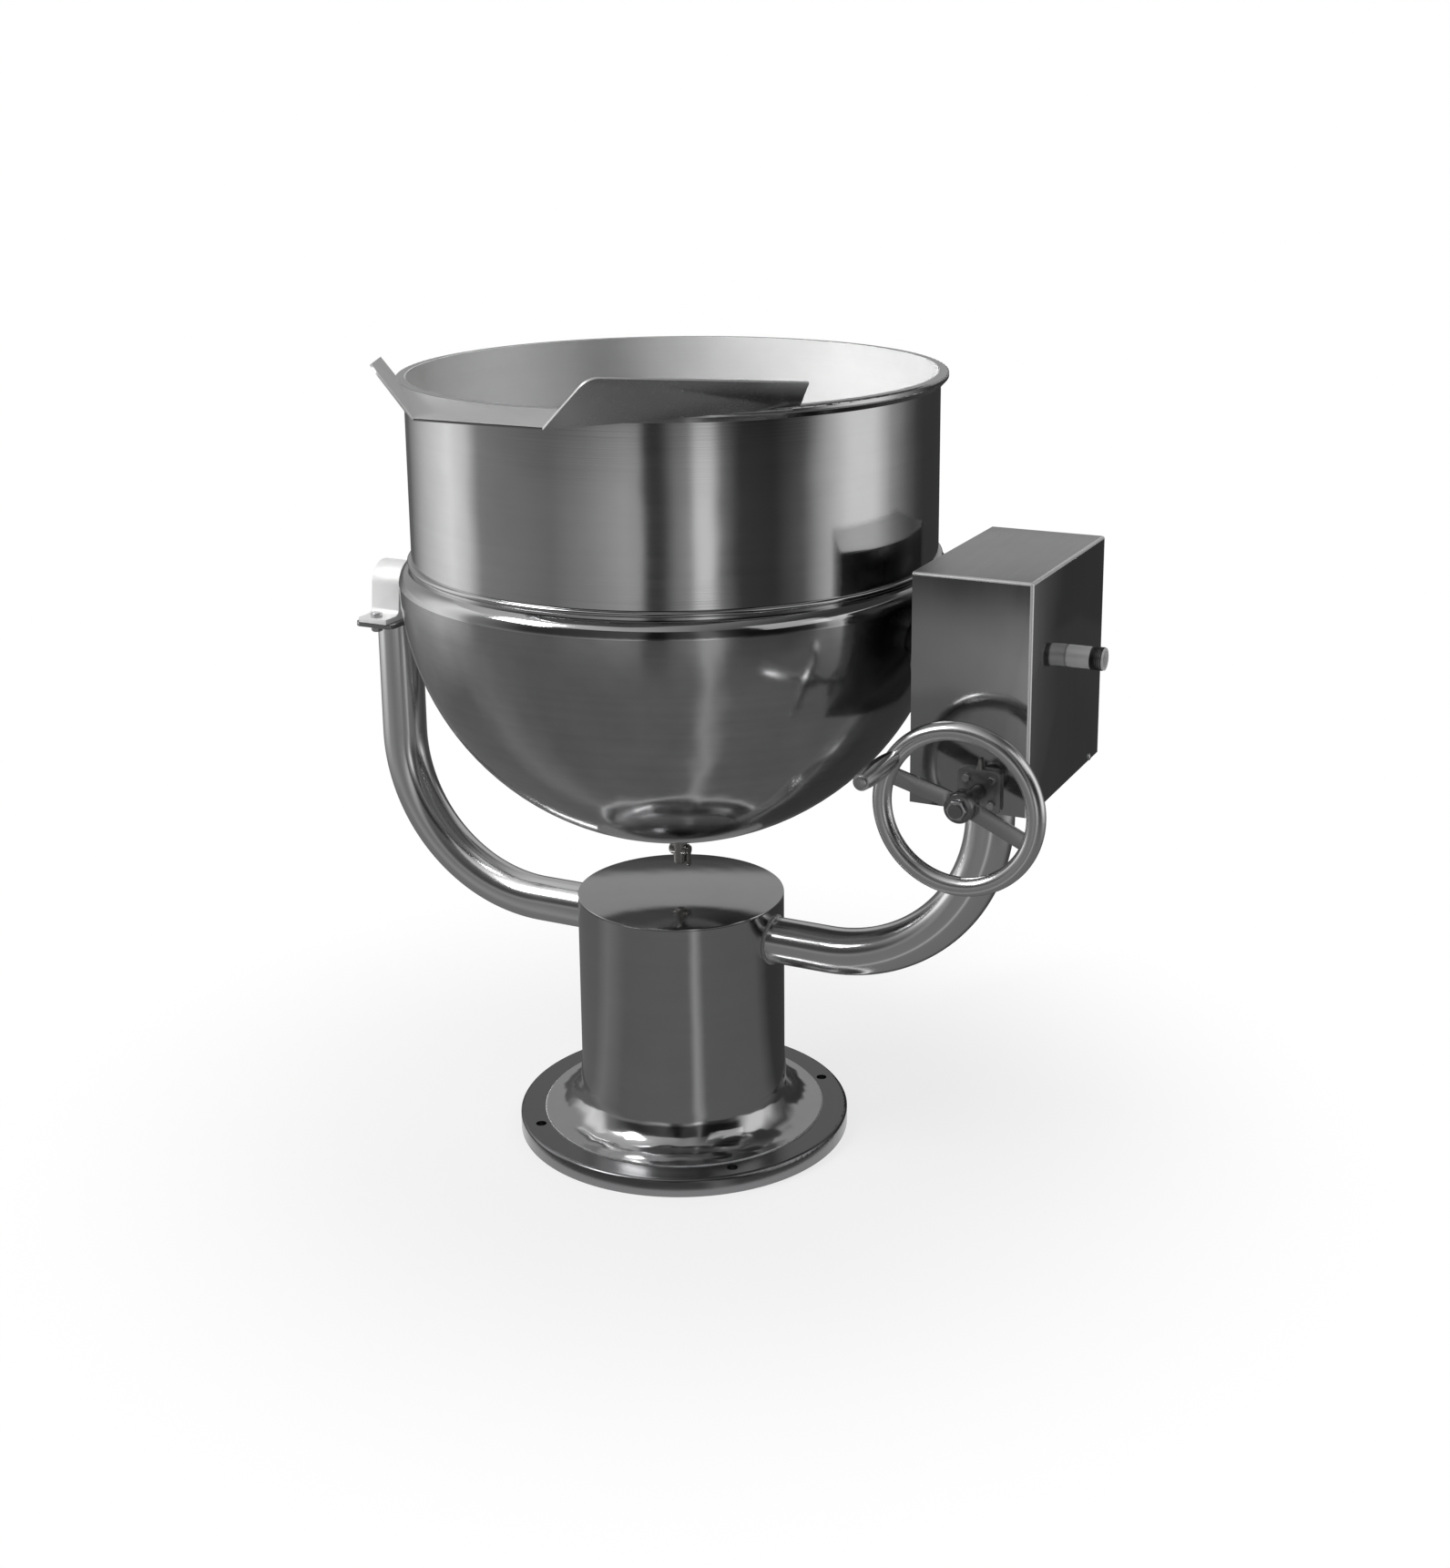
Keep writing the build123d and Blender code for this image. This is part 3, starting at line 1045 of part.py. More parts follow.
with BuildPart() as front_bearing_bolts:
    with BuildSketch(worm_front.offset(-front_bearing_y)):
        with GridLocations(FRONT_BEARING_BOLT_SPACING, FRONT_BEARING_BOLT_SPACING, 2, 2):
            RegularPolygon(FRONT_BOLT_HEAD_RADIUS, 6)
    extrude(amount=FRONT_BOLT_HEAD_HEIGHT)
    with BuildSketch(worm_front.offset(-front_bearing_y)):
        with GridLocations(FRONT_BEARING_BOLT_SPACING, FRONT_BEARING_BOLT_SPACING, 2, 2):
            Circle(FRONT_BOLT_RADIUS)
    extrude(amount=-FRONT_BOLT_LENGTH)
save(front_bearing_bolts.part, "front_bearing_bolts")

with BuildPart() as grease_nipple:
    with BuildSketch(Plane.XY.offset(worm_z + FRONT_BEARING_SIZE / 2)):
        with Locations((wheel_x, grease_y)):
            Circle(GREASE_NIPPLE_RADIUS)
    extrude(amount=GREASE_NIPPLE_LENGTH, taper=GREASE_NIPPLE_TAPER)
save(grease_nipple.part, "grease_nipple")

rear_block_height = worm_z + COLLAR_RADIUS + WORM_BUSH_WALL - base_plate_top
with BuildPart() as worm_rear_bearing:
    with Locations((wheel_x, rear_block_y + REAR_BLOCK_LENGTH / 2, base_plate_top + rear_block_height / 2)):
        Box(REAR_BLOCK_WIDTH, REAR_BLOCK_LENGTH, rear_block_height)
    with BuildSketch(worm_front):
        Circle(WORM_SHAFT_RADIUS + RUNNING_CLEARANCE)
    extrude(amount=-CONSOLE_DEPTH, mode=Mode.SUBTRACT)
    fillet(worm_rear_bearing.edges().filter_by(Axis.Y).group_by(Axis.Z)[-1], WORM_BUSH_WALL)
save(worm_rear_bearing.part, "worm_rear_bearing")

# ------------------------------------------------------------------ steam union and inlet pipe
steam_thread_start = spigot_end_x + SHOULDER_PLAY
steam_pipe_start = console_outer_x + STEAM_PIPE_SHOULDER
steam_pipe_end = console_outer_x + STEAM_PIPE_STAND_OUT
with BuildPart() as steam_union:
    with BuildSketch(right_axis.offset(union_start_x)):
        Circle(UNION_RADIUS)
    extrude(amount=UNION_LENGTH)
    with BuildSketch(right_axis.offset(cover_inner_x)):
        Circle(UNION_FLANGE_RADIUS)
    extrude(amount=-UNION_FLANGE_THICKNESS)
    with BuildSketch(right_axis.offset(union_start_x)):
        Circle(SPIGOT_RADIUS + RUNNING_CLEARANCE)
    extrude(amount=steam_thread_start - union_start_x, mode=Mode.SUBTRACT)
    with BuildSketch(right_axis.offset(steam_thread_start)):
        Circle(STEAM_THREAD_RADIUS)
    extrude(amount=UNION_LENGTH, mode=Mode.SUBTRACT)
save(steam_union.part, "steam_union")

with BuildPart() as steam_inlet_nipple:
    with BuildSketch(right_axis.offset(steam_thread_start)):
        Circle(STEAM_THREAD_RADIUS)
    extrude(amount=steam_pipe_start - steam_thread_start)
    with BuildSketch(right_axis.offset(steam_pipe_start)):
        Circle(STEAM_PIPE_RADIUS)
    extrude(amount=steam_pipe_end - steam_pipe_start)
    with BuildSketch(right_axis.offset(steam_thread_start)):
        Circle(STEAM_PIPE_BORE_RADIUS)
    extrude(amount=steam_pipe_end - steam_thread_start, mode=Mode.SUBTRACT)
save(steam_inlet_nipple.part, "steam_inlet_nipple")
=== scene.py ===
"""Looks of a tilting steam jacketed kettle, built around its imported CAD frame.

The kettle hangs in two arms on a pedestal and is tilted by a hand-cranked worm drive in a console.
Every length is in metres, in the frame of the CAD part: +Z up, -Y towards the pouring lip and +X
towards the console.
"""

from __future__ import annotations

import json
import logging
import math
from collections.abc import Callable, Iterable, Sequence
from dataclasses import dataclass
from enum import Enum

import bmesh
import bpy
from mathutils import Matrix, Vector


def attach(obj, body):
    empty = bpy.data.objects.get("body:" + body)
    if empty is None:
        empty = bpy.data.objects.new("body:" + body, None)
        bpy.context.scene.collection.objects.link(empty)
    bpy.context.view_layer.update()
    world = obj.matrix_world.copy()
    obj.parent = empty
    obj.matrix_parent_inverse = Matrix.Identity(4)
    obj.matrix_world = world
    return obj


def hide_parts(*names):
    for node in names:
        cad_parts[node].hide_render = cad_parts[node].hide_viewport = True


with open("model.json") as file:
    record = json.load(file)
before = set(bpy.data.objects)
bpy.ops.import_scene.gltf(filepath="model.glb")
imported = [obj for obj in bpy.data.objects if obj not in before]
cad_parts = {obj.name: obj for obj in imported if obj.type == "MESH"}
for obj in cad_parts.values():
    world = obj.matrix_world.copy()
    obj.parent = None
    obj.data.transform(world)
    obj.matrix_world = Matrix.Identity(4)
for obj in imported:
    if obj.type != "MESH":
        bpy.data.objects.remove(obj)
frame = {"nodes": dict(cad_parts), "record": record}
log = logging.getLogger("kettle")

MM = 0.001
SAME_PLACE = 0.002 * MM  # corners nearer than this are one
FLAT_WITHIN = math.radians(0.6)  # faces that bend less than this are one
ROUNDED_ABOVE = math.radians(40)  # edges that bend more than this are rounded
SHARP_ABOVE = math.radians(32)  # edges that bend more than this look sharp
MOTTLE_SHARES = (0.6, 0.25, 0.15)  # of patches, bands and streaks in the tone
GLOSS_SHARES = (0.5, 0.35, 0.5)  # of patches, bands and streaks in the gloss
BAND_SCALE = 0.12  # bands per tool mark
BAND_DEPTH = 2.0  # times a streak's depth
NEVER_ZERO = 0.01 * MM  # added to a radius that is divided by
RIPPLE_SHAPE = (1.0, 1.0, 0.62)  # a weld bead's ripple is thinner along the bead
RIPPLE_SPREAD = 0.08  # how far a ripple's size may be from the others'
PRISM_SHARE = 0.8  # of a bolt head's height is its hexagon, and the rest its sloping top
CROWN_RADII = (0.86, 0.74)  # the sloping top's foot and end, in head radii
SLOT_LENGTH = 2.2  # a screw's slot, in head radii
SLOT_WIDTH = 0.26
FLARE_STEPS, BLEND_STEPS, COLUMN_STEPS = 24, 12, 8  # of the pedestal's outline
RIGHT, BACK, UP = Vector((1, 0, 0)), Vector((0, 1, 0)), Vector((0, 0, 1))

Triple = tuple[float, float, float]
Colour = tuple[float, float, float, float]
Stops = tuple[tuple[float, float], ...]


class Value:
    """A shader socket on which Python arithmetic adds Math nodes."""

    def __init__(self, graph: Graph, socket: bpy.types.NodeSocket) -> None:
        """Keeps the graph and one of its output sockets."""
        self.graph = graph
        self.socket = socket

    def __add__(self, other: Value | float) -> Value:
        """Adds a value."""
        return self.graph.maths("ADD", self, other)

    __radd__ = __add__

    def __mul__(self, other: Value | float) -> Value:
        """Multiplies by a value."""
        return self.graph.maths("MULTIPLY", self, other)

    __rmul__ = __mul__

    def __sub__(self, other: Value | float) -> Value:
        """Takes a value away."""
        return self.graph.maths("SUBTRACT", self, other)

    def __rsub__(self, other: float) -> Value:
        """Takes this value away from a number."""
        return self.graph.maths("SUBTRACT", other, self)

    def __truediv__(self, other: Value | float) -> Value:
        """Divides by a value."""
        return self.graph.maths("DIVIDE", self, other)


class Graph:
    """Adds nodes to one node tree."""

    def __init__(self, tree: bpy.types.NodeTree) -> None:
        """Keeps the shader or geometry tree to add nodes to."""
        self.tree = tree

    def add(
        self,
        kind: str,
        settings: dict[str, object] | None = None,
        inputs: dict[str | int, object] | None = None,
        output: str | int = 0,
    ) -> Value:
        """Adds one node.

        Args:
            kind: The node's type.
            settings: Its properties, set before its sockets. "stops" holds a colour ramp's
                positions and grey levels.
            inputs: Values or links for its sockets, by name or number.
            output: The name or number of the output to return.

        Returns:
            The chosen output.
        """
        node = self.tree.nodes.new(kind)
        for name, value in (settings or {}).items():
            if name == "stops":
                elements = node.color_ramp.elements
                while len(elements) < len(value):
                    elements.new(1.0)
                for element, (position, level) in zip(elements, value):
                    element.position = position
                    element.color = (level, level, level, 1.0)
            else:
                setattr(node, name, value)
        for name, value in (inputs or {}).items():
            if isinstance(value, Value):
                self.tree.links.new(value.socket, node.inputs[name])
            else:
                node.inputs[name].default_value = value
        return Value(self, node.outputs[output] if node.outputs else None)

    def maths(self, operation: str, *values: Value | float) -> Value:
        """Adds a Math node with this operation and these operands."""
        return self.add("ShaderNodeMath", {"operation": operation}, dict(enumerate(values)))

    def vector(self, x: Value | float, y: Value | float, z: Value | float) -> Value:
        """Joins three values into a vector."""
        return self.add("ShaderNodeCombineXYZ", {}, {"X": x, "Y": y, "Z": z})

    def split(self, vector: Value) -> list[Value]:
        """Splits a vector into its three parts."""
        node = self.add("ShaderNodeSeparateXYZ", {}, {"Vector": vector}).socket.node
        return [Value(self, output) for output in node.outputs]

    def length(self, *parts: Value) -> Value:
        """Gives the length of the vector that has these parts."""
        return self.maths("SQRT", sum(part * part for part in parts))

    def coordinates(self) -> Value:
        """Adds the object's own coordinates."""
        return self.add("ShaderNodeTexCoord", output="Object")

    def rescale(
        self,
        value: Value,
        ends: tuple[float, float],
        become: tuple[float, float] = (0.0, 1.0),
        interpolation: str = "SMOOTHSTEP",
    ) -> Value:
        """Maps one range of values onto another, and stops at its ends.

        Args:
            value: What is mapped.
            ends: The ends of its range.
            become: What they become.
            interpolation: How it goes from one end to the other.

        Returns:
            The mapped value.
        """
        names = ("From Min", "From Max", "To Min", "To Max")
        sockets = {"Value": value, **dict(zip(names, (*ends, *become)))}
        return self.add("ShaderNodeMapRange", {"interpolation_type": interpolation}, sockets)

    def noise(self, where: Value, scale: float, detail: float = 2.0, roughness: float = 0.5) -> Value:
        """Adds a noise texture around 0.5, with "scale" features per unit of the coordinates."""
        sockets = {"Vector": where, "Scale": scale, "Detail": detail, "Roughness": roughness}
        return self.add("ShaderNodeTexNoise", {}, sockets)

    def ramp(self, factor: Value, stops: Stops) -> Value:
        """Adds a grey colour ramp with these positions and levels."""
        return self.add("ShaderNodeValToRGB", {"stops": stops}, {"Fac": factor})

    def mix_colour(self, factor: Value | float, low: object, high: object) -> Value:
        """Mixes two colours, each a link or four numbers: 0 gives the first and 1 the second."""
        return self.add("ShaderNodeMix", {"data_type": "RGBA"}, {0: factor, 6: low, 7: high}, 2)


def grey(level: float) -> Colour:
    """Gives an opaque grey of a linear level from 0 to 1."""
    return (level, level, level, 1.0)


class Grain(Enum):
    """The direction that a polishing belt or tool ran in."""

    AROUND_X = 0
    AROUND_Y = 1
    AROUND_Z = 2
    ALONG_X = 3
    ALONG_Y = 4
    ALONG_Z = 5

    @property
    def axis(self) -> int:
        """The number of the axis that the grain runs along or around."""
        return self.value % 3

    @property
    def around(self) -> bool:
        """True if the grain runs around its axis."""
        return self.value < 3


def blank_material(name: str) -> tuple[bpy.types.Material, Graph]:
    """Makes a material with an empty node tree.

    Args:
        name: Its name.

    Returns:
        The material and the graph that adds nodes to it.
    """
    material = bpy.data.materials.new(name)
    material.use_nodes = True
    material.node_tree.nodes.clear()
    return material, Graph(material.node_tree)


@dataclass(frozen=True)
class Lining:
    """A second finish inside a round vessel, duller and more even than the outside."""

    radius: float
    bottom_centre: float
    tone: Triple = (0.49, 0.49, 0.49)
    roughness: float = 0.34
    metallic: float = 0.8
    uneven_gloss: float = 0.2
    smoothing: float = 0.9  # how much of the tool marks is polished away
    edge: float = 0.4 * MM


@dataclass(frozen=True)
class Metal:
    """A polished or brushed metal: its tone, gloss, tool marks and the unevenness of its sheet."""

    name: str
    tone: Triple = (0.56, 0.56, 0.565)
    roughness: float = 0.16
    grain: Grain = Grain.AROUND_Z
    centre: Triple = (0.0, 0.0, 0.0)
    grain_pitch: float = 1.6 * MM
    grain_length: float = 90 * MM
    grain_depth: float = 0.02 * MM
    wave_size: float = 90 * MM
    wave_depth: float = 0.25 * MM
    patch_size: float = 70 * MM
    patchiness: float = 0.10
    anisotropy: float = 0.0
    metallic: float = 1.0
    uneven_gloss: float = 1.0
    calm: tuple[float, float] | None = None  # heights between which the waves fade away
    calm_share: float = 0.1  # what is left of them above
    mean_radius: float = 0.3  # turns a share of a full turn into a length along the tool's path
    lining: Lining | None = None

    def material(self) -> bpy.types.Material:
        """Builds the material, or returns it if it was built before.

        Returns:
            The material.
        """
        found = bpy.data.materials.get(self.name)
        if found:
            return found
        material, graph = blank_material(self.name)
        shift = tuple(-c for c in self.centre)
        place = graph.add("ShaderNodeVectorMath", {"operation": "ADD"}, {0: graph.coordinates(), 1: shift})
        grain_space = self.grain_space(graph, place)
        streaks = graph.noise(grain_space, 1.0, 3.0, 0.6)
        bands = graph.noise(grain_space, BAND_SCALE, 2.0, 0.5)
        patches = graph.noise(place, 1 / self.patch_size, 3.0, 0.55)
        waves = graph.noise(place, 1 / self.wave_size, 1.0, 0.4)
        if self.calm:
            waves = waves * graph.rescale(graph.split(place)[2], self.calm, (1.0, self.calm_share))
        layers = (patches, bands, streaks)
        mottle = sum(layer * share for layer, share in zip(layers, MOTTLE_SHARES))
        gloss = sum((layer - 0.5) * share for layer, share in zip(layers, GLOSS_SHARES)) * self.uneven_gloss
        tone = graph.mix_colour(mottle, self.shade(self.tone, -1), self.shade(self.tone, 1))
        roughness = gloss * self.roughness + self.roughness
        metallic: Value | float = self.metallic
        marks = streaks + bands * BAND_DEPTH
        if self.lining:
            lining = self.lining
            inside = self.inside(graph, place)
            lined = graph.mix_colour(mottle, self.shade(lining.tone, -1), self.shade(lining.tone, 1))
            tone = graph.mix_colour(inside, tone, lined)
            lined = gloss * lining.uneven_gloss * lining.roughness + lining.roughness
            roughness = roughness + inside * (lined - roughness)
            metallic = 1 - inside * (1 - lining.metallic)
            marks = marks * (1 - inside * lining.smoothing)
        bump = {"Strength": 1.0, "Distance": self.wave_depth, "Height": waves}
        soft = graph.add("ShaderNodeBump", {}, bump)
        bump = {"Strength": 1.0, "Distance": self.grain_depth, "Height": marks, "Normal": soft}
        sockets = {
            "Base Color": tone,
            "Metallic": metallic,
            "Roughness": roughness,
            "Anisotropic": self.anisotropy,
            "Normal": graph.add("ShaderNodeBump", {}, bump),
        }
        shader = graph.add("ShaderNodeBsdfPrincipled", {}, sockets)
        graph.add("ShaderNodeOutputMaterial", {}, {"Surface": shader})
        return material

    def shade(self, tone: Triple, side: int) -> Colour:
        """Gives the darkest (side -1) or the lightest (side 1) tone of the mottling."""
        return (*[min(1.0, c * (1 + side * self.patchiness)) for c in tone], 1.0)

    def inside(self, graph: Graph, place: Value) -> Value:
        """Tells the inside of the vessel from its outside.

        Args:
            graph: The material's graph.
            place: Object coordinates.

        Returns:
            1 on the inside and 0 on the outside.
        """
        x, y, z = graph.split(place)
        below = graph.maths("MINIMUM", z - self.lining.bottom_centre, 0.0)
        ends = (self.lining.radius, self.lining.radius + self.lining.edge)
        return graph.rescale(graph.length(x, y, below), ends, (1.0, 0.0), "LINEAR")

    def grain_space(self, graph: Graph, place: Value) -> Value:
        """Stretches the coordinates along the tool's path.

        Args:
            graph: The material's graph.
            place: Object coordinates from the metal's centre.

        Returns:
            Coordinates in which one unit is a tool mark's width across and its length along.
        """
        parts = graph.split(place)
        first, second = (parts[i] for i in range(3) if i != self.grain.axis)
        depth = parts[self.grain.axis]
        if not self.grain.around:
            across = [part / self.grain_pitch for part in (first, second)]
            return graph.vector(*across, depth / self.grain_length)
        radius = graph.length(first, second) + NEVER_ZERO
        turns = 0.5 * self.mean_radius / self.grain_length
        along = [part / radius * turns for part in (first, second)]
        return graph.vector(*along, (radius + depth) / self.grain_pitch)


def dress(names: Iterable[str], finish: Metal) -> None:
    """Gives CAD nodes a finish, in their own material slots.

    Args:
        names: The nodes.
        finish: What they are made of.
    """
    for name in names:
        mesh = frame["nodes"][name].data
        mesh.materials.clear()
        mesh.materials.append(finish.material())
        log.info("%s: %s", name, finish.name)


def dress_faces(
    mesh: bpy.types.Mesh, finish: Metal, chosen: Callable[[bpy.types.MeshPolygon], bool]
) -> None:
    """Gives some faces of a piece's mesh a second finish.

    Args:
        mesh: The mesh.
        finish: The second finish.
        chosen: Whether a face has it.
    """
    mesh.materials.append(finish.material())
    for face in mesh.polygons:
        if chosen(face):
            face.material_index = len(mesh.materials) - 1


def body_of(node: str) -> str:
    """Gives the name of the body that a CAD node belongs to."""
    bodies = frame["record"]["behaviour"]["bodies"]
    return next(body for body, nodes in bodies.items() if node in nodes)


def set_up(name: str, data: bpy.types.ID) -> bpy.types.Object:
    """Makes an object and links it to the scene.

    Args:
        name: The object's name.
        data: Its mesh, light or camera.

    Returns:
        The object.
    """
    placed = bpy.data.objects.new(name, data)
    bpy.context.scene.collection.objects.link(placed)
    return placed


def place_piece(
    name: str,
    mesh: bpy.types.Mesh,
    finish: Metal,
    body: str,
    replaced: Sequence[str] = (),
) -> bpy.types.Object:
    """Adds a finished mesh to the scene as a piece that rides on a body.

    Args:
        name: The piece's name.
        mesh: Its mesh, in the frame's own place.
        finish: What it is made of.
        body: The body it rides on.
        replaced: The CAD nodes it stands for.

    Returns:
        The piece.
    """
    mesh.name = name
    mesh.materials.clear()
    mesh.materials.append(finish.material())
    piece = set_up(name, mesh)
    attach(piece, body)
    if replaced:
        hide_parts(*replaced)
    log.info("%s: %s, on %s, %d faces", name, finish.name, body, len(mesh.polygons))
    return piece


def evaluated_mesh(holder: bpy.types.Object) -> bpy.types.Mesh:
    """Turns an object with its modifiers into a plain mesh, and removes the object.

    Args:
        holder: The object.

    Returns:
        The mesh.
    """
    bpy.context.view_layer.update()
    depsgraph = bpy.context.evaluated_depsgraph_get()
    mesh = bpy.data.meshes.new_from_object(holder.evaluated_get(depsgraph))
    holder.modifiers.clear()
    bpy.data.objects.remove(holder, do_unlink=True)
    return mesh


def finished_mesh(bm: bmesh.types.BMesh, name: str) -> bpy.types.Mesh:
    """Shades a mesh smooth, but for its sharp edges, and makes plain data of it.

    Args:
        bm: The mesh, which is freed.
        name: The name of the data.

    Returns:
        The data.
    """
    for face in bm.faces:
        face.smooth = True
    for edge in bm.edges:
        edge.smooth = not (edge.is_manifold and edge.calc_face_angle(0.0) > SHARP_ABOVE)
    mesh = bpy.data.meshes.new(name)
    bm.to_mesh(mesh)
    bm.free()
    return mesh


def softened(
    node: str,
    name: str,
    finish: Metal,
    radius: float,
    segments: int = 2,
    chosen: Callable[[Vector], bool] = lambda middle: True,
) -> bpy.types.Object:
    """Replaces a CAD node by a copy of it with rounded edges.

    Args:
        node: The node.
        name: The piece's name.
        finish: What it is made of.
        radius: The width of the rounding.
        segments: Its steps.
        chosen: Whether an edge whose middle is there is rounded.

    Returns:
        The piece.
    """
    bm = bmesh.new()
    bm.from_mesh(frame["nodes"][node].data)
    bmesh.ops.remove_doubles(bm, verts=bm.verts, dist=SAME_PLACE)
    bmesh.ops.dissolve_limit(bm, angle_limit=FLAT_WITHIN, verts=bm.verts, edges=bm.edges)
    sharp = [
        edge
        for edge in bm.edges
        if edge.is_manifold
        and edge.calc_face_angle(0.0) > ROUNDED_ABOVE
        and chosen((edge.verts[0].co + edge.verts[1].co) / 2)
    ]
    rounding = {"offset": radius, "segments": segments, "profile": 0.5, "clamp_overlap": True}
    bmesh.ops.bevel(bm, geom=sharp, affect="EDGES", **rounding)
    return place_piece(name, finished_mesh(bm, name), finish, body_of(node), [node])


def lathe(profile: Sequence[tuple[float, float]], steps: int = 192) -> bpy.types.Mesh:
    """Turns a closed profile about the Z axis.

    Args:
        profile: Radii and heights, counter-clockwise seen with the radius to the right.
        steps: Faces around.

    Returns:
        The mesh.
    """
    bm = bmesh.new()
    rings = []
    for radius, height in profile:
        turns = [2 * math.pi * step / steps for step in range(steps)]
        rings.append([bm.verts.new((radius * math.cos(t), radius * math.sin(t), height)) for t in turns])
    for lower, upper in zip(rings, rings[1:] + rings[:1]):
        for step in range(steps):
            after = (step + 1) % steps
            bm.faces.new((lower[step], lower[after], upper[after], upper[step]))
    bmesh.ops.recalc_face_normals(bm, faces=bm.faces)
    return finished_mesh(bm, "lathe")


class Joined(Enum):
    """How the points given to a tree are joined."""

    APART = 0
    OPEN = 1
    CLOSED = 2


class Workshop:
    """Geometry Nodes trees for what repeats or follows a path, each built once and then reused."""

    def __init__(self) -> None:
        """Builds the trees."""
        self.trees: dict[str, tuple[bpy.types.NodeTree, dict[str, str]]] = {}
        self.build_bead_tree()
        self.build_bolt_tree()
        self.build_screw_tree()
        self.build_thread_tree()

    def bead(
        self,
        name: str,
        path: Sequence[Vector],
        radius: float,
        pitch: float,
        body: str,
        seed: int,
        joined: Joined = Joined.CLOSED,
    ) -> None:
        """Lays a weld bead.

        Args:
            name: The piece's name.
            path: Points along it.
            radius: The bead's radius.
            pitch: The distance between its ripples.
            body: The body it rides on.
            seed: What makes its ripples uneven.
            joined: Whether it closes on itself.
        """
        values = {"Radius": radius, "Pitch": pitch, "Unevenness": RIPPLE_SPREAD, "Seed": seed}
        mesh = self.run("weld_bead", path, joined, WELD_STEEL, values)
        place_piece(name, mesh, WELD_STEEL, body)

    def bolts(self, name: str, points: Sequence[Vector], values: dict[str, object], node: str) -> None:
        """Sets hexagon bolts at some points, in place of a CAD node's plain ones."""
        mesh = self.run("hexagon_bolt", points, Joined.APART, FASTENER_STEEL, values)
        place_piece(name, mesh, FASTENER_STEEL, body_of(node), [node])

    def screws(
        self,
        name: str,
        groups: Sequence[tuple[Sequence[Vector], Vector, int]],
        radius: float,
        height: float,
        node: str,
    ) -> None:
        """Sets slotted screws in place of a CAD node's plain ones.

        Args:
            name: The piece's name.
            groups: Where the heads stand, where they point and a seed, group by group.
            radius: The heads' radius.
            height: Their height.
            node: The CAD node.
        """
        bm = bmesh.new()
        for points, direction, seed in groups:
            values = {"Head radius": radius, "Head height": height, "Seed": seed}
            values["Direction"] = tuple(direction)
            mesh = self.run("round_screw", points, Joined.APART, FASTENER_STEEL, values)
            bm.from_mesh(mesh)
            bpy.data.meshes.remove(mesh)
        place_piece(name, finished_mesh(bm, name), FASTENER_STEEL, body_of(node), [node])

    def thread(self, name: str, start: Vector, direction: Vector, values: dict[str, object]) -> None:
        """Cuts a pipe thread's ridge around a pipe's end.

        Args:
            name: The piece's name.
            start: The start of its axis.
            direction: Its axis.
            values: The tree's inputs by name.
        """
        values = {**values, "Direction": tuple(direction)}
        mesh = self.run("pipe_thread", [start], Joined.APART, THREAD_STEEL, values)
        place_piece(name, mesh, THREAD_STEEL, "stand")

    def start_tree(self, name: str, sizes: Sequence[str]) -> tuple[Graph, dict[str, Value]]:
        """Makes a tree with named inputs.

        Args:
            name: The tree's name.
            sizes: Names of its lengths.

        Returns:
            The graph and its inputs by name, with the points or path it works on as "Geometry".
        """
        tree = bpy.data.node_groups.new(name, "GeometryNodeTree")
        tree.interface.new_socket("Geometry", in_out="INPUT", socket_type="NodeSocketGeometry")
        tree.interface.new_socket("Geometry", in_out="OUTPUT", socket_type="NodeSocketGeometry")
        identifiers = {}
        kinds = {"Seed": "Int", "Direction": "Vector", "Finish": "Material"}
        for label, kind in (*[(size, "Float") for size in sizes], *kinds.items()):
            socket = tree.interface.new_socket(label, in_out="INPUT", socket_type=f"NodeSocket{kind}")
            identifiers[label] = socket.identifier
        self.trees[name] = (tree, identifiers)
        graph = Graph(tree)
        entry = tree.nodes.new("NodeGroupInput")
        return graph, {output.name: Value(graph, output) for output in entry.outputs if output.name}

    @staticmethod
    def finish_tree(graph: Graph, shape: Value, finish: Value, smooth: bool = True) -> None:
        """Ends a tree by making its instances real and giving them their material.

        Args:
            graph: The graph.
            shape: What it has made.
            finish: The material input.
            smooth: Whether the faces are shaded smooth.
        """
        real = graph.add("GeometryNodeRealizeInstances", {}, {"Geometry": shape})
        shaded = graph.add("GeometryNodeSetShadeSmooth", {}, {"Geometry": real, "Shade Smooth": smooth})
        dressed = graph.add("GeometryNodeSetMaterial", {}, {"Geometry": shaded, "Material": finish})
        exit_node = graph.tree.nodes.new("NodeGroupOutput")
        graph.tree.links.new(dressed.socket, exit_node.inputs[0])

    def run(
        self,
        tree_name: str,
        points: Sequence[Vector],
        joined: Joined,
        finish: Metal,
        values: dict[str, object],
    ) -> bpy.types.Mesh:
        """Runs a tree on some points, or on a path through them.

        Args:
            tree_name: The tree.
            points: The places, in order.
            joined: Whether they are apart or make a path.
            finish: What the pieces are made of.
            values: The tree's inputs by name.

        Returns:
            The plain mesh.
        """
        tree, identifiers = self.trees[tree_name]
        mesh = bpy.data.meshes.new(tree_name)
        edges = [(i, i + 1) for i in range(len(points) - 1)] if joined != Joined.APART else []
        if joined == Joined.CLOSED:
            edges.append((len(points) - 1, 0))
        mesh.from_pydata([tuple(p) for p in points], edges, [])
        holder = set_up(tree_name, mesh)
        modifier = holder.modifiers.new(tree_name, "NODES")
        modifier.node_group = tree
        modifier[identifiers["Finish"]] = finish.material()
        for label, value in values.items():
            modifier[identifiers[label]] = value
        return evaluated_mesh(holder)

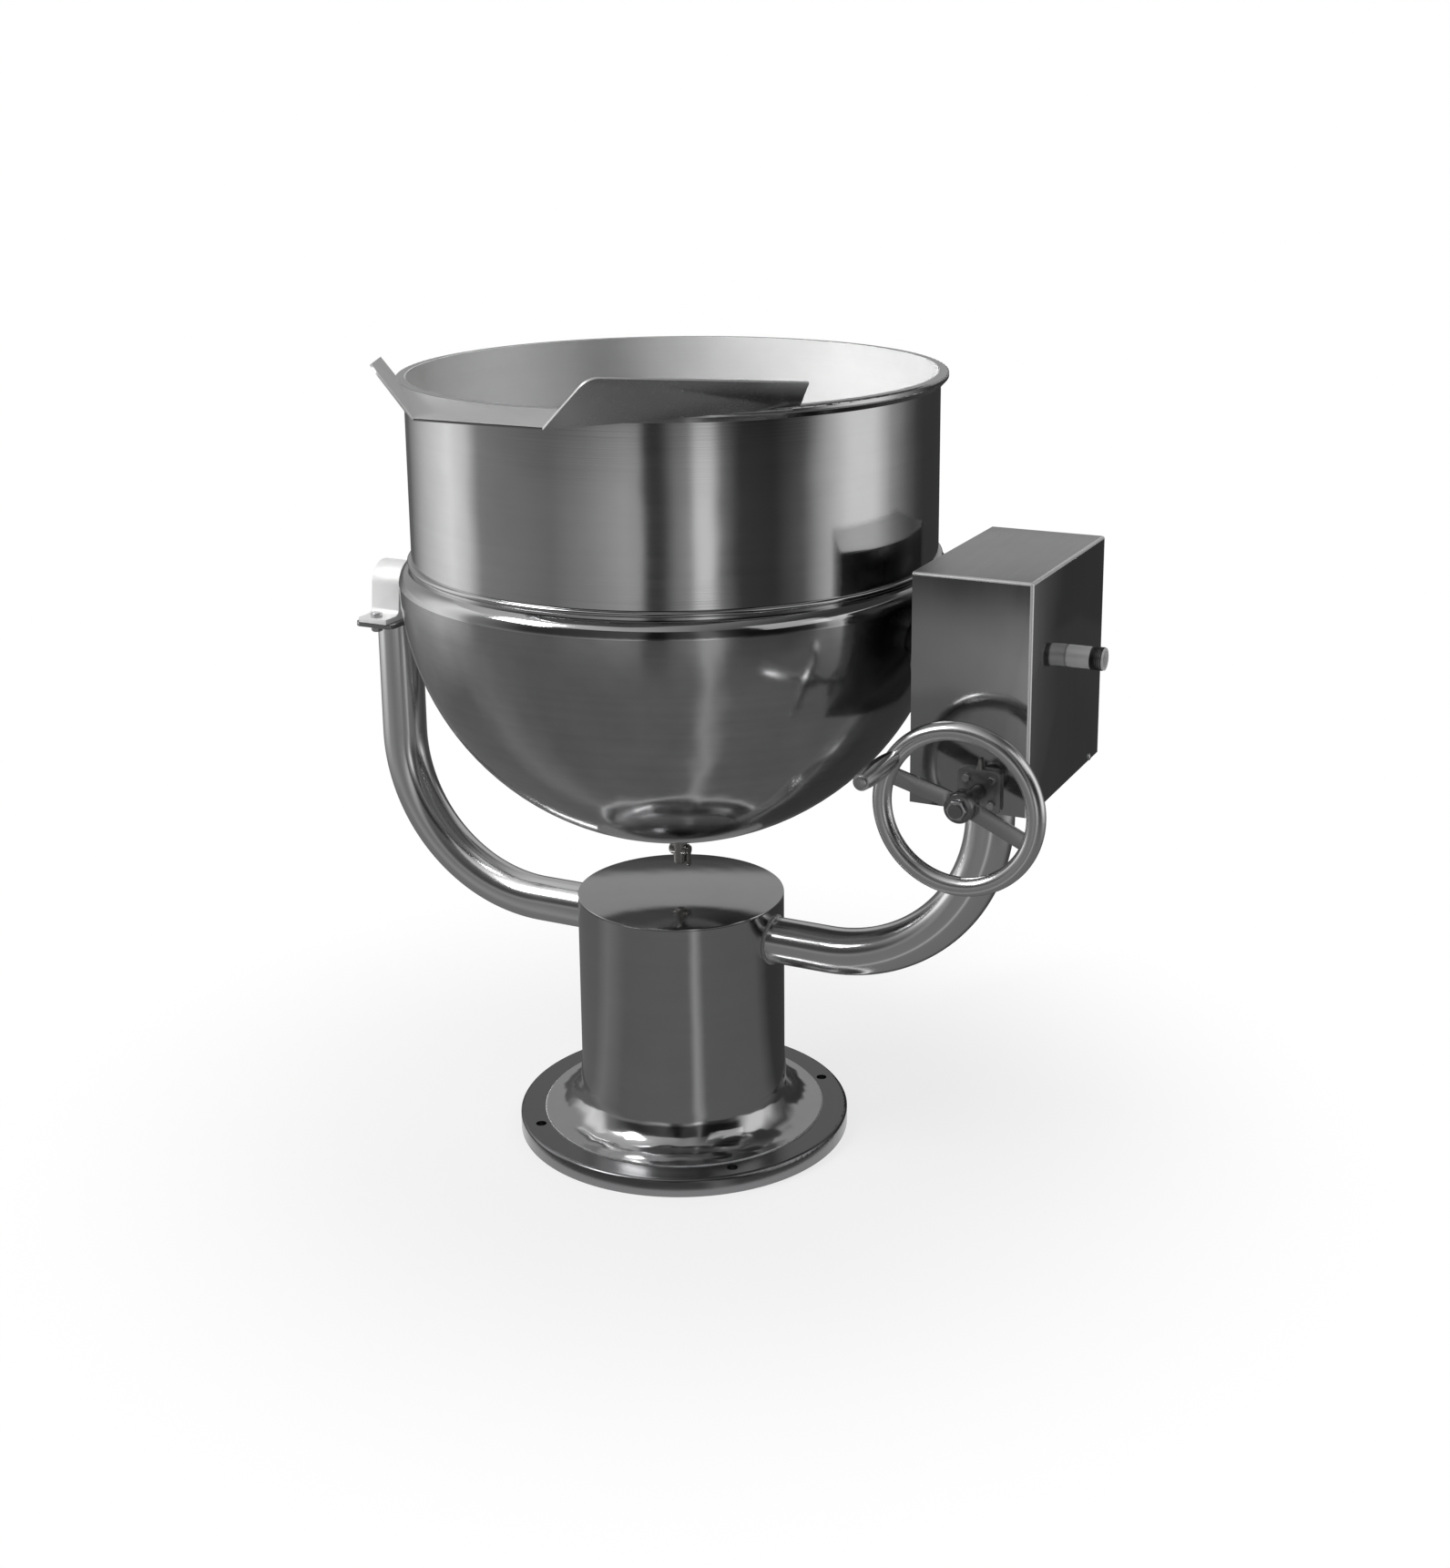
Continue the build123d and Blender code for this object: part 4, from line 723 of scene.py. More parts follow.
    def build_bead_tree(self) -> None:
        """Builds the tree of a weld bead: overlapping ripples along a path."""
        graph, inputs = self.start_tree("weld_bead", ("Radius", "Pitch", "Unevenness"))
        path = graph.add("GeometryNodeMeshToCurve", {}, {"Mesh": inputs["Geometry"]})
        spacing = {"Curve": path, "Length": inputs["Pitch"]}
        points = graph.add("GeometryNodeCurveToPoints", {"mode": "LENGTH"}, spacing)
        ball = {"Segments": 12, "Rings": 6, "Radius": inputs["Radius"]}
        ripple = graph.add("GeometryNodeMeshUVSphere", {}, ball)
        sockets = {
            "Points": points,
            "Instance": graph.add("GeometryNodeTransform", {}, {"Geometry": ripple, "Scale": RIPPLE_SHAPE}),
            "Rotation": Value(graph, points.socket.node.outputs["Rotation"]),
            "Scale": self.random(graph, 1 - inputs["Unevenness"], 1 + inputs["Unevenness"], inputs["Seed"]),
        }
        beads = graph.add("GeometryNodeInstanceOnPoints", {}, sockets)
        self.finish_tree(graph, beads, inputs["Finish"])

    def build_bolt_tree(self) -> None:
        """Builds the tree of hexagon bolts: a washer, a head with a sloping top and a shank."""
        sizes = ("Head radius", "Head height", "Washer radius", "Washer height")
        sizes += ("Shank radius", "Shank length")
        graph, inputs = self.start_tree("hexagon_bolt", sizes)
        washer_height = inputs["Washer height"]
        head_radius, head_height = inputs["Head radius"], inputs["Head height"]
        prism = head_height * PRISM_SHARE
        shank_length = inputs["Shank length"]
        cone = {
            "Vertices": 36,
            "Radius Bottom": head_radius * CROWN_RADII[0],
            "Radius Top": head_radius * CROWN_RADII[1],
            "Depth": head_height * (1 - PRISM_SHARE),
        }
        crown = graph.add("GeometryNodeMeshCone", {}, cone)
        parts = (
            self.drum(graph, 40, inputs["Washer radius"], washer_height, washer_height * 0.5),
            self.drum(graph, 6, head_radius, prism, washer_height + prism * 0.5),
            self.raised(graph, crown, washer_height + prism),
            self.drum(graph, 24, inputs["Shank radius"], shank_length, shank_length * -0.5),
        )
        joined = graph.add("GeometryNodeJoinGeometry")
        for part in parts:
            graph.tree.links.new(part.socket, joined.socket.node.inputs[0])
        self.stand_on_points(graph, inputs, joined)

    def build_screw_tree(self) -> None:
        """Builds the tree of slotted round-head screws."""
        graph, inputs = self.start_tree("round_screw", ("Head radius", "Head height"))
        radius, height = inputs["Head radius"], inputs["Head height"]
        ball = graph.add("GeometryNodeMeshUVSphere", {}, {"Segments": 28, "Rings": 12, "Radius": 1.0})
        size = {"Geometry": ball, "Scale": graph.vector(radius, radius, height)}
        dome = graph.add("GeometryNodeTransform", {}, size)
        slot = graph.vector(radius * SLOT_LENGTH, radius * SLOT_WIDTH, height)
        bar = graph.add("GeometryNodeMeshCube", {}, {"Size": slot})
        settings = {"operation": "DIFFERENCE", "solver": "EXACT"}
        cut = graph.add("GeometryNodeMeshBoolean", settings, {"Mesh 1": dome})
        graph.tree.links.new(self.raised(graph, bar, height).socket, cut.socket.node.inputs["Mesh 2"])
        self.stand_on_points(graph, inputs, cut)

    @staticmethod
    def raised(graph: Graph, shape: Value, height: Value) -> Value:
        """Moves a shape up the Z axis."""
        place = graph.vector(0.0, 0.0, height)
        return graph.add("GeometryNodeTransform", {}, {"Geometry": shape, "Translation": place})

    @staticmethod
    def random(graph: Graph, low: Value | float, high: Value | float, seed: Value) -> Value:
        """Gives each point a random value between two others."""
        sockets = {"Min": low, "Max": high, "Seed": seed}
        return graph.add("FunctionNodeRandomValue", {"data_type": "FLOAT"}, sockets, 1)

    def drum(self, graph: Graph, sides: int, radius: Value, height: Value, middle_height: Value) -> Value:
        """Adds a prism or cylinder that stands on the Z axis, with its middle at some height."""
        sockets = {"Vertices": sides, "Radius": radius, "Depth": height}
        return self.raised(graph, graph.add("GeometryNodeMeshCylinder", {}, sockets), middle_height)

    def stand_on_points(self, graph: Graph, inputs: dict[str, Value], shape: Value) -> None:
        """Puts a shape on each point, standing along the tree's direction, and ends the tree.

        Args:
            graph: The graph.
            inputs: Its inputs.
            shape: What stands on each point.
        """
        direction = {"Vector": inputs["Direction"]}
        turn = graph.add("FunctionNodeAlignRotationToVector", {"axis": "Z"}, direction)
        spin = {"Axis": (0.0, 0.0, 1.0), "Angle": self.random(graph, 0.0, math.pi, inputs["Seed"])}
        spin_turn = graph.add("FunctionNodeAxisAngleToRotation", {}, spin)
        both = graph.add("FunctionNodeRotateRotation", {"rotation_space": "LOCAL"}, {0: turn, 1: spin_turn})
        cloud = graph.add("GeometryNodeMeshToPoints", {}, {"Mesh": inputs["Geometry"]})
        sockets = {"Points": cloud, "Instance": shape, "Rotation": both}
        placed = graph.add("GeometryNodeInstanceOnPoints", {}, sockets)
        self.finish_tree(graph, placed, inputs["Finish"], smooth=False)

    def build_thread_tree(self) -> None:
        """Builds the tree of a screw thread: a ridge along a helix around the direction given."""
        graph, inputs = self.start_tree("pipe_thread", ("Radius", "Pitch", "Length", "Depth"))
        sockets = {
            "Resolution": 48,
            "Rotations": inputs["Length"] / inputs["Pitch"],
            "Start Radius": inputs["Radius"],
            "End Radius": inputs["Radius"],
            "Height": inputs["Length"],
        }
        helix = graph.add("GeometryNodeCurveSpiral", {}, sockets)
        outline = {"Resolution": 4, "Radius": inputs["Depth"]}
        ridge = graph.add("GeometryNodeCurvePrimitiveCircle", {}, outline)
        sockets = {"Curve": helix, "Profile Curve": ridge, "Fill Caps": True}
        swept = graph.add("GeometryNodeCurveToMesh", {}, sockets)
        self.stand_on_points(graph, inputs, swept)


def circle(centre: Vector, across: Vector, up: Vector, radius: float, steps: int = 96) -> list[Vector]:
    """Gives the points of a circle, from its direction "across" and a quarter turn on "up"."""
    turns = [2 * math.pi * step / steps for step in range(steps)]
    return [centre + (across * math.cos(turn) + up * math.sin(turn)) * radius for turn in turns]


@dataclass(frozen=True)
class Fastener:
    """The sizes of one kind of hexagon bolt."""

    head_radius: float
    head_height: float
    washer_radius: float
    shank_radius: float
    shank_length: float
    washer_height: float = 1.0 * MM

    def values(self, direction: Vector, seed: int) -> dict[str, object]:
        """Gives the inputs of the bolts' tree.

        Args:
            direction: Where the heads point.
            seed: What turns each head by its own angle.

        Returns:
            The inputs by name.
        """
        return {
            "Head radius": self.head_radius,
            "Head height": self.head_height - self.washer_height,
            "Washer radius": self.washer_radius,
            "Washer height": self.washer_height,
            "Shank radius": self.shank_radius,
            "Shank length": self.shank_length,
            "Direction": tuple(direction),
            "Seed": seed,
        }


VESSEL_STEEL = Metal(
    "vessel_steel",
    tone=(0.60, 0.60, 0.605),
    roughness=0.10,
    anisotropy=0.5,
    wave_depth=0.7 * MM,
    patchiness=0.14,
    lining=Lining(331.5 * MM, 776 * MM),
)
# The lip's inside: a duller finish, and a lighter tone than the lip's outside that is painted light on the
# faces that turn up
LIP_INSIDE_PAINTED_LIGHT = Metal(
    "lip_inside_painted_light", tone=(0.66, 0.66, 0.66), roughness=0.34, grain=Grain.ALONG_X, metallic=0.6
)
LIP_STEEL = Metal(
    "lip_steel",
    tone=(0.5, 0.5, 0.505),
    roughness=0.24,
    grain=Grain.ALONG_X,
    grain_depth=0.006 * MM,
    patch_size=160 * MM,
)
JACKET_STEEL = Metal(
    "jacket_steel",
    tone=(0.53, 0.53, 0.535),
    roughness=0.14,
    grain_depth=0.01 * MM,
    wave_size=60 * MM,
    wave_depth=1.4 * MM,
    patchiness=0.22,
    patch_size=45 * MM,
)
COLUMN_STEEL = Metal(
    "column_steel",
    tone=(0.57, 0.57, 0.575),
    roughness=0.12,
    anisotropy=0.3,
    wave_size=44 * MM,
    wave_depth=3.2 * MM,
    calm=(40 * MM, 88 * MM),
)
FLANGE_STEEL = Metal("flange_steel", tone=(0.22, 0.22, 0.225), roughness=0.22, wave_depth=0.6 * MM)
SHEET_STEEL = Metal(
    "sheet_steel",
    tone=(0.44, 0.44, 0.445),
    roughness=0.10,
    grain=Grain.ALONG_Z,
    grain_depth=0.008 * MM,
    wave_size=130 * MM,
    wave_depth=1.2 * MM,
    patchiness=0.16,
)
# The console cover's top: its own brushing along Y, and a lighter tone than its sides that is painted light
# from above
TOP_PAINTED_LIGHT_STEEL = Metal(
    "top_sheet_painted_light",
    tone=(0.64, 0.64, 0.645),
    roughness=0.32,
    grain=Grain.ALONG_Y,
    wave_depth=0.6 * MM,
)
# The console cover's bends: a painted highlight, twice as light as its flat sides and more diffuse
BEND_PAINTED_HIGHLIGHT = Metal("bend_painted_highlight", tone=(0.88, 0.88, 0.88), roughness=0.32, grain=Grain.ALONG_Z, metallic=0.6)
BACK_STEEL = Metal("back_steel", tone=(0.2, 0.2, 0.2), roughness=0.3, grain=Grain.ALONG_Z)
TUBE_STEEL = Metal(
    "tube_steel",
    tone=(0.95, 0.95, 0.955),
    roughness=0.17,
    grain=Grain.ALONG_Z,
    grain_pitch=12 * MM,
    grain_length=60 * MM,
    grain_depth=0.001 * MM,
    uneven_gloss=0.25,
)
WHEEL_STEEL = Metal(
    "wheel_steel",
    tone=(0.84, 0.84, 0.84),
    roughness=0.24,
    uneven_gloss=0.3,
    grain=Grain.AROUND_Y,
    centre=(463 * MM, -213.5 * MM, 576 * MM),
    grain_pitch=5 * MM,
    grain_depth=0.006 * MM,
)
SPOKE_STEEL = Metal("spoke_steel", tone=(0.55, 0.55, 0.55), roughness=0.26, grain=Grain.ALONG_X)
TURNED_STEEL = Metal("turned_steel", tone=(0.66, 0.66, 0.665), roughness=0.2, grain=Grain.AROUND_X)
PIPE_STEEL = Metal("pipe_steel", tone=(0.92, 0.92, 0.92), roughness=0.38, grain=Grain.ALONG_X, metallic=0.5)
SHAFT_STEEL = Metal("shaft_steel", tone=(0.3, 0.3, 0.305), roughness=0.24, grain=Grain.AROUND_Y)
CAST_STEEL = Metal(
    "cast_steel",
    tone=(0.92, 0.92, 0.915),
    roughness=0.5,
    wave_size=9 * MM,
    wave_depth=0.25 * MM,
    patchiness=0.06,
    metallic=0.4,
)
CAST_IRON = Metal(
    "dark_casting", tone=(0.4, 0.4, 0.4), roughness=0.4, wave_size=9 * MM, wave_depth=0.25 * MM
)
WELD_STEEL = Metal("weld_steel", tone=(0.6, 0.6, 0.6), roughness=0.3, wave_size=6 * MM, wave_depth=0.1 * MM)
FASTENER_STEEL = Metal("fastener_steel", tone=(0.6, 0.6, 0.61), roughness=0.28, grain_length=6 * MM)
PLATED_BRONZE = Metal("plated_bronze", tone=(0.44, 0.43, 0.41), roughness=0.3, grain=Grain.AROUND_X)
THREAD_STEEL = Metal("thread_steel", tone=(0.16, 0.16, 0.16), roughness=0.4, grain=Grain.AROUND_X)


@dataclass
class Vessel:
    """The bowl with its rim, its pouring lip and the ring that closes the steam jacket."""

    lip_edge: float = 0.7 * MM
    rim_radius: float = 343 * MM
    lip_underside: float = 1016.4 * MM
    lip_half_angle: float = math.radians(50)
    seam_steps: int = 80
    bead_radius: float = 1.6 * MM
    bead_pitch: float = 1.5 * MM
    painted_light_lean: float = 0.1  # a face whose normal rises more than this is on the lip's inside, which gets painted light

    def build(self, workshop: Workshop) -> None:
        """Dresses the vessel and lays the weld under its lip.

        Args:
            workshop: The trees for beads and bolts.
        """
        dress(("bowl", "rim_ring", "jacket_closure_ring"), VESSEL_STEEL)
        lip = softened("pouring_lip", "pouring_lip_folded", LIP_STEEL, self.lip_edge).data
        # The lip's up-facing inside faces get a lighter copy of its steel: partly a duller inside finish,
        # partly painted light
        dress_faces(lip, LIP_INSIDE_PAINTED_LIGHT, lambda face: face.normal.z > self.painted_light_lean)
        seam = []
        for step in range(self.seam_steps + 1):
            turn = self.lip_half_angle * (2 * step / self.seam_steps - 1)
            x, y = self.rim_radius * math.sin(turn), -self.rim_radius * math.cos(turn)
            seam.append(Vector((x, y, self.lip_underside)))
        workshop.bead("lip_weld", seam, self.bead_radius, self.bead_pitch, "kettle", 15, Joined.OPEN)


@dataclass
class Jacket:
    """The steam jacket, the trunnion pads on it and the trunnions."""

    axis_height: float = 708 * MM
    radius: float = 350 * MM
    centre_height: float = 766 * MM
    pad_radius: float = 46 * MM
    pad_thickness: float = 5 * MM
    boss_radius: float = 27 * MM
    bead_radius: float = 2.4 * MM
    bead_pitch: float = 2.0 * MM
    pad_edge: float = 1.0 * MM

    def build(self, workshop: Workshop) -> None:
        """Dresses the jacket and lays its welds.

        Args:
            workshop: The trees for beads and bolts.
        """
        dress(("steam_jacket",), JACKET_STEEL)
        dress(("left_trunnion", "right_trunnion", "siphon_tube", "siphon_clip"), TURNED_STEEL)
        bead = (self.bead_radius, self.bead_pitch, "kettle")
        rings = (
            ("pad", self.pad_radius, self.radius),
            ("boss", self.boss_radius, self.radius + self.pad_thickness),
        )
        for side, sign in (("left", -1), ("right", 1)):
            softened(f"{side}_trunnion_pad", f"{side}_trunnion_pad_rounded", VESSEL_STEEL, self.pad_edge)
            for kind, ring, ball in rings:
                flat = circle(UP * self.axis_height, BACK, UP, ring)
                path = [self.on_ball(point, ball, sign) for point in flat]
                workshop.bead(f"{side}_{kind}_weld", path, *bead, sign + 3)

    def on_ball(self, point: Vector, radius: float, sign: int) -> Vector:
        """Moves a point along X onto a ball around the jacket's centre: -1 to the left, 1 to the right."""
        depth = point.z - self.centre_height
        return Vector((sign * math.sqrt(radius**2 - point.y**2 - depth**2), point.y, point.z))


@dataclass
class Pedestal:
    """The column with its flared foot, its cover and the flange that is bolted to the floor."""

    column_radius: float = 136.5 * MM
    column_bore: float = 130.1 * MM
    column_top: float = 325 * MM
    collar_radius: float = 138.5 * MM
    collar_height: float = 68 * MM
    blend_height: float = 104 * MM
    flare_radius: float = 42 * MM
    foot_radius: float = 186.5 * MM
    flange_top: float = 24 * MM
    sheet: float = 2 * MM
    arm_height: float = 281.5 * MM
    arm_radius: float = 30.15 * MM
    bead_radius: float = 3.0 * MM
    bead_pitch: float = 2.6 * MM
    foot_bead_radius: float = 1.8 * MM
    foot_steps: int = 288
    cover_edge: float = 1.0 * MM

    def build(self, workshop: Workshop) -> None:
        """Turns the pedestal's skin, dresses the rest and lays the welds.

        Args:
            workshop: The trees for beads and bolts.
        """
        skin = lathe(self.profile())
        replaced = ("pedestal_column", "base_skirt")
        place_piece("pedestal_skin", skin, COLUMN_STEEL, "stand", replaced)
        softened("column_top_cover", "column_top_cover_rounded", COLUMN_STEEL, self.cover_edge)
        dress(("base_flange",), FLANGE_STEEL)
        flat = circle(UP * self.arm_height, BACK, UP, self.arm_radius)
        for side, sign in (("left", -1), ("right", 1)):
            path = [
                Vector((sign * math.sqrt(self.column_radius**2 - point.y**2), point.y, point.z))
                for point in flat
            ]
            name = f"{side}_arm_foot_weld"
            workshop.bead(name, path, self.bead_radius, self.bead_pitch, "stand", sign + 7)
        foot = circle(UP * self.flange_top, RIGHT, BACK, self.foot_radius, self.foot_steps)
        workshop.bead("skirt_foot_weld", foot, self.foot_bead_radius, self.bead_pitch, "stand", 12)

    def profile(self) -> list[tuple[float, float]]:
        """Gives the outline of the column and its flared foot, as one sheet.

        Returns:
            Radii and heights, from the foot's outer edge up the outside and down the inside.
        """
        centre = self.collar_radius + self.flare_radius
        lip_top = self.flange_top + self.sheet
        points = [(self.foot_radius, self.flange_top), (self.foot_radius, lip_top)]
        for step in range(FLARE_STEPS + 1):
            turn = math.radians(270 - 90 * step / FLARE_STEPS)
            radius = centre + self.flare_radius * math.cos(turn)
            points.append((radius, self.collar_height + self.flare_radius * math.sin(turn)))
        for step in range(1, BLEND_STEPS + 1):
            share = step / BLEND_STEPS
            ease = share * share * (3 - 2 * share)
            height = self.collar_height + (self.blend_height - self.collar_height) * share
            points.append((self.collar_radius + (self.column_radius - self.collar_radius) * ease, height))
        for step in range(1, COLUMN_STEPS + 1):
            height = self.blend_height + (self.column_top - self.blend_height) * step / COLUMN_STEPS
            points.append((self.column_radius, height))
        points.append((self.column_bore, self.column_top))
        points.append((self.column_bore, self.flange_top))
        return points


@dataclass
class Arms:
    """The two bent tubes that carry the bearings."""

    radius: float = 30.15 * MM
    reach: float = 428 * MM
    left_top: float = 657 * MM
    right_top: float = 549 * MM
    bead_radius: float = 2.6 * MM
    bead_pitch: float = 2.2 * MM
    weld_share: float = 0.85  # of the left arm's radius, as far out as its weld goes

    def build(self, workshop: Workshop) -> None:
        """Dresses the arms and lays the welds at their tops.

        Args:
            workshop: The trees for beads and bolts.
        """
        dress(("left_arm", "right_arm"), TUBE_STEEL)
        right = circle(Vector((self.reach, 0, self.right_top)), RIGHT, BACK, self.radius)
        workshop.bead("right_arm_top_weld", right, self.bead_radius, self.bead_pitch, "stand", 5)
        left = circle(Vector((-self.reach, 0, self.left_top)), RIGHT, BACK, self.radius)
        inboard = [point for point in left if point.x > -self.reach - self.radius * self.weld_share]
        split = sum(point.y >= 0 for point in inboard)
        for side, path in (("rear", inboard[:split]), ("front", inboard[split:])):
            name = f"left_arm_{side}_weld"
            workshop.bead(name, path, self.bead_radius, self.bead_pitch, "stand", split, Joined.OPEN)


@dataclass
class Bearings:
    """The pillow blocks of the tilt axis, the plate under the left one, and their bolts."""

    left_x: float = -428 * MM
    right_x: float = 414 * MM
    bolt_spread: float = 54 * MM
    foot_top: float = 670 * MM
    plate_bottom: float = 657 * MM
    block_edge: float = 1.6 * MM
    plate_edge: float = 0.8 * MM
    bolt: Fastener = Fastener(8 * MM, 6.5 * MM, 8 * MM, 5 * MM, 19.5 * MM)
    nut: Fastener = Fastener(8 * MM, 6.5 * MM, 8 * MM, 4.4 * MM, 0.5 * MM)

    def build(self, workshop: Workshop) -> None:
        """Dresses the bearings and sets their bolts.

        Args:
            workshop: The trees for beads and bolts.
        """
        for side in ("left", "right"):
            softened(f"{side}_pillow_block", f"{side}_pillow_block_cast", CAST_STEEL, self.block_edge)
        softened("left_bearing_plate", "left_bearing_plate_rounded", SHEET_STEEL, self.plate_edge)
        softened("bearing_portal", "bearing_portal_rounded", CAST_STEEL, self.plate_edge)
        dress(("left_bearing_bush", "right_bearing_bush"), PLATED_BRONZE)
        for node, kind, x, height, direction, seed in (
            ("left_block_bolts", self.bolt, self.left_x, self.foot_top, UP, 3),
            ("right_block_bolts", self.bolt, self.right_x, self.foot_top, UP, 5),
            ("left_block_nuts", self.nut, self.left_x, self.plate_bottom, -UP, 8),
        ):
            points = [Vector((x, y, height)) for y in (-self.bolt_spread, self.bolt_spread)]
            workshop.bolts(f"{node}_hexagon", points, kind.values(direction, seed), node)


@dataclass
class Console:
    """The sheet-metal box over the worm drive, and the steam nipple in its side."""

    outer_x: float = 520 * MM
    half_depth: float = 138.5 * MM
    bottom: float = 549 * MM
    top: float = 825 * MM
    bend_radius: float = 3.4 * MM
    plate_edge: float = 0.8 * MM
    side_screw_spread: float = 100 * MM
    side_screw_height: float = 553 * MM
    rear_screw_x: float = 385 * MM
    rear_screw_spread: float = 88 * MM
    screw_radius: float = 4.5 * MM
    screw_height: float = 2.2 * MM
    axis_height: float = 708 * MM
    thread_radius: float = 13.3 * MM
    thread_depth: float = 1.0 * MM
    thread_pitch: float = 1.8 * MM
    thread_start: float = 548.5 * MM
    thread_length: float = 14.5 * MM
    square: float = 0.99  # a face whose normal has no part above this is on a bend, which gets a painted highlight; a face rising more than this is on top, which gets painted light

    def build(self, workshop: Workshop) -> None:
        """Dresses the console, sets its screws and cuts the nipple's thread.

        Args:
            workshop: The trees for beads and bolts.
        """
        radius = self.bend_radius
        cover = softened("console_cover", "console_cover_bent", SHEET_STEEL, radius, 4, self.on_bend)
        # The cover's bends get a painted highlight: a much lighter copy of its sheet steel
        dress_faces(cover.data, BEND_PAINTED_HIGHLIGHT, lambda face: max(map(abs, face.normal)) < self.square)
        # The cover's top faces get painted light: a lighter copy of its sheet steel
        dress_faces(cover.data, TOP_PAINTED_LIGHT_STEEL, lambda face: face.normal.z > self.square)
        softened("console_back_plate", "console_back_plate_bent", BACK_STEEL, self.plate_edge)
        softened("console_base_plate", "console_base_plate_cut", BACK_STEEL, self.plate_edge)
        dress(("steam_union",), TURNED_STEEL)
        dress(("steam_inlet_nipple",), PIPE_STEEL)
        spread = self.side_screw_spread
        side = [Vector((self.outer_x, y, self.side_screw_height)) for y in (-spread, spread)]
        spread = self.rear_screw_spread
        middle = Vector((self.rear_screw_x, self.half_depth, (self.bottom + self.top) / 2))
        rear = [middle + UP * z for z in (-spread, spread)]
        groups = ((side, RIGHT, 4), (rear, BACK, 9))
        radius, height = self.screw_radius, self.screw_height
        workshop.screws("cover_screws_slotted", groups, radius, height, "cover_screws")
        values = {
            "Radius": self.thread_radius,
            "Pitch": self.thread_pitch,
            "Length": self.thread_length,
            "Depth": self.thread_depth,
        }
        start = Vector((self.thread_start, 0, self.axis_height))
        workshop.thread("steam_nipple_thread", start, RIGHT, values)

    def on_bend(self, point: Vector) -> bool:
        """Tells the cover's outer bends from its other edges.

        Args:
            point: The middle of an edge.

        Returns:
            True on a bend.
        """
        near = 0.01 * MM
        walls = (
            abs(point.x - self.outer_x) < near,
            abs(abs(point.y) - self.half_depth) < near,
            abs(point.z - self.top) < near,
        )
        return sum(walls) >= 2


@dataclass
class WormDrive:
    """The worm, its wheel, its bearings and their bolts."""

    shaft_x: float = 463 * MM
    shaft_height: float = 576 * MM
    bearing_front: float = -145.5 * MM
    bolt_spread: float = 15 * MM
    edge: float = 0.8 * MM
    bolt: Fastener = Fastener(5.2 * MM, 4 * MM, 5.2 * MM, 3 * MM, 14 * MM, 0.6 * MM)

    def build(self, workshop: Workshop) -> None:
        """Dresses the drive and sets its bolts.

        Args:
            workshop: The trees for beads and bolts.
        """
        softened("worm_front_bearing", "worm_front_bearing_cast", CAST_IRON, self.edge)
        softened("worm_rear_bearing", "worm_rear_bearing_cast", CAST_IRON, self.edge)
        dress(("worm_shaft", "thrust_collars"), SHAFT_STEEL)
        dress(("worm_wheel_sector", "grease_nipple"), PLATED_BRONZE)
        dress(("worm_wheel_key",), TURNED_STEEL)
        sides = (-self.bolt_spread, self.bolt_spread)
        middle = Vector((self.shaft_x, self.bearing_front, self.shaft_height))
        points = [middle + RIGHT * x + UP * z for x in sides for z in sides]
        values = self.bolt.values(-BACK, 2)
        workshop.bolts("front_bearing_bolts_hexagon", points, values, "front_bearing_bolts")


@dataclass
class Handwheel:
    """The handwheel with its spokes, hub and crank handle."""

    spoke_edge: float = 1.4 * MM
    hub_edge: float = 1.2 * MM
    small_edge: float = 0.6 * MM

    def build(self, workshop: Workshop) -> None:
        """Dresses the handwheel.

        Args:
            workshop: The trees for beads and bolts, of which it has none.
        """
        dress(("handwheel_rim", "handle_grip", "hub_key"), WHEEL_STEEL)
        softened("handwheel_spokes", "handwheel_spokes_rounded", SPOKE_STEEL, self.spoke_edge)
        softened("handwheel_hub", "handwheel_hub_turned", SHAFT_STEEL, self.hub_edge)
        softened("hub_nut", "hub_nut_chamfered", FASTENER_STEEL, self.small_edge)
        softened("handle_spindle", "handle_spindle_turned", FASTENER_STEEL, self.small_edge)


@dataclass
class Drain:
    """The condensate drain under the jacket."""

    nipple_radius: float = 6.85 * MM
    nipple_steps: int = 48
    jacket_bottom: float = 416 * MM
    bead_radius: float = 1.2 * MM
    bead_pitch: float = 1.0 * MM

    def build(self, workshop: Workshop) -> None:
        """Dresses the drain and lays its weld.

        Args:
            workshop: The trees for beads and bolts.
        """
        dress(("drain_nipple", "drain_cock_body", "drain_cock_plug"), PLATED_BRONZE)
        path = circle(UP * self.jacket_bottom, RIGHT, BACK, self.nipple_radius, self.nipple_steps)
        workshop.bead("drain_nipple_weld", path, self.bead_radius, self.bead_pitch, "kettle", 21)


@dataclass(frozen=True)
class Lamp:
    """A soft lamp."""

    name: str
    place: Triple
    size: float
    power: float
    aim: Triple = (0.0, 0.0, 0.7)
    spread: float = math.pi
    mirrored: bool = True


@dataclass(frozen=True)
class Site:
    """Where a point of a screen is, as shader values."""

    right: Value
    height: Value
    share: Value  # the azimuth, from 0 at -180 degrees to 1 at 180 degrees
    radius: Value


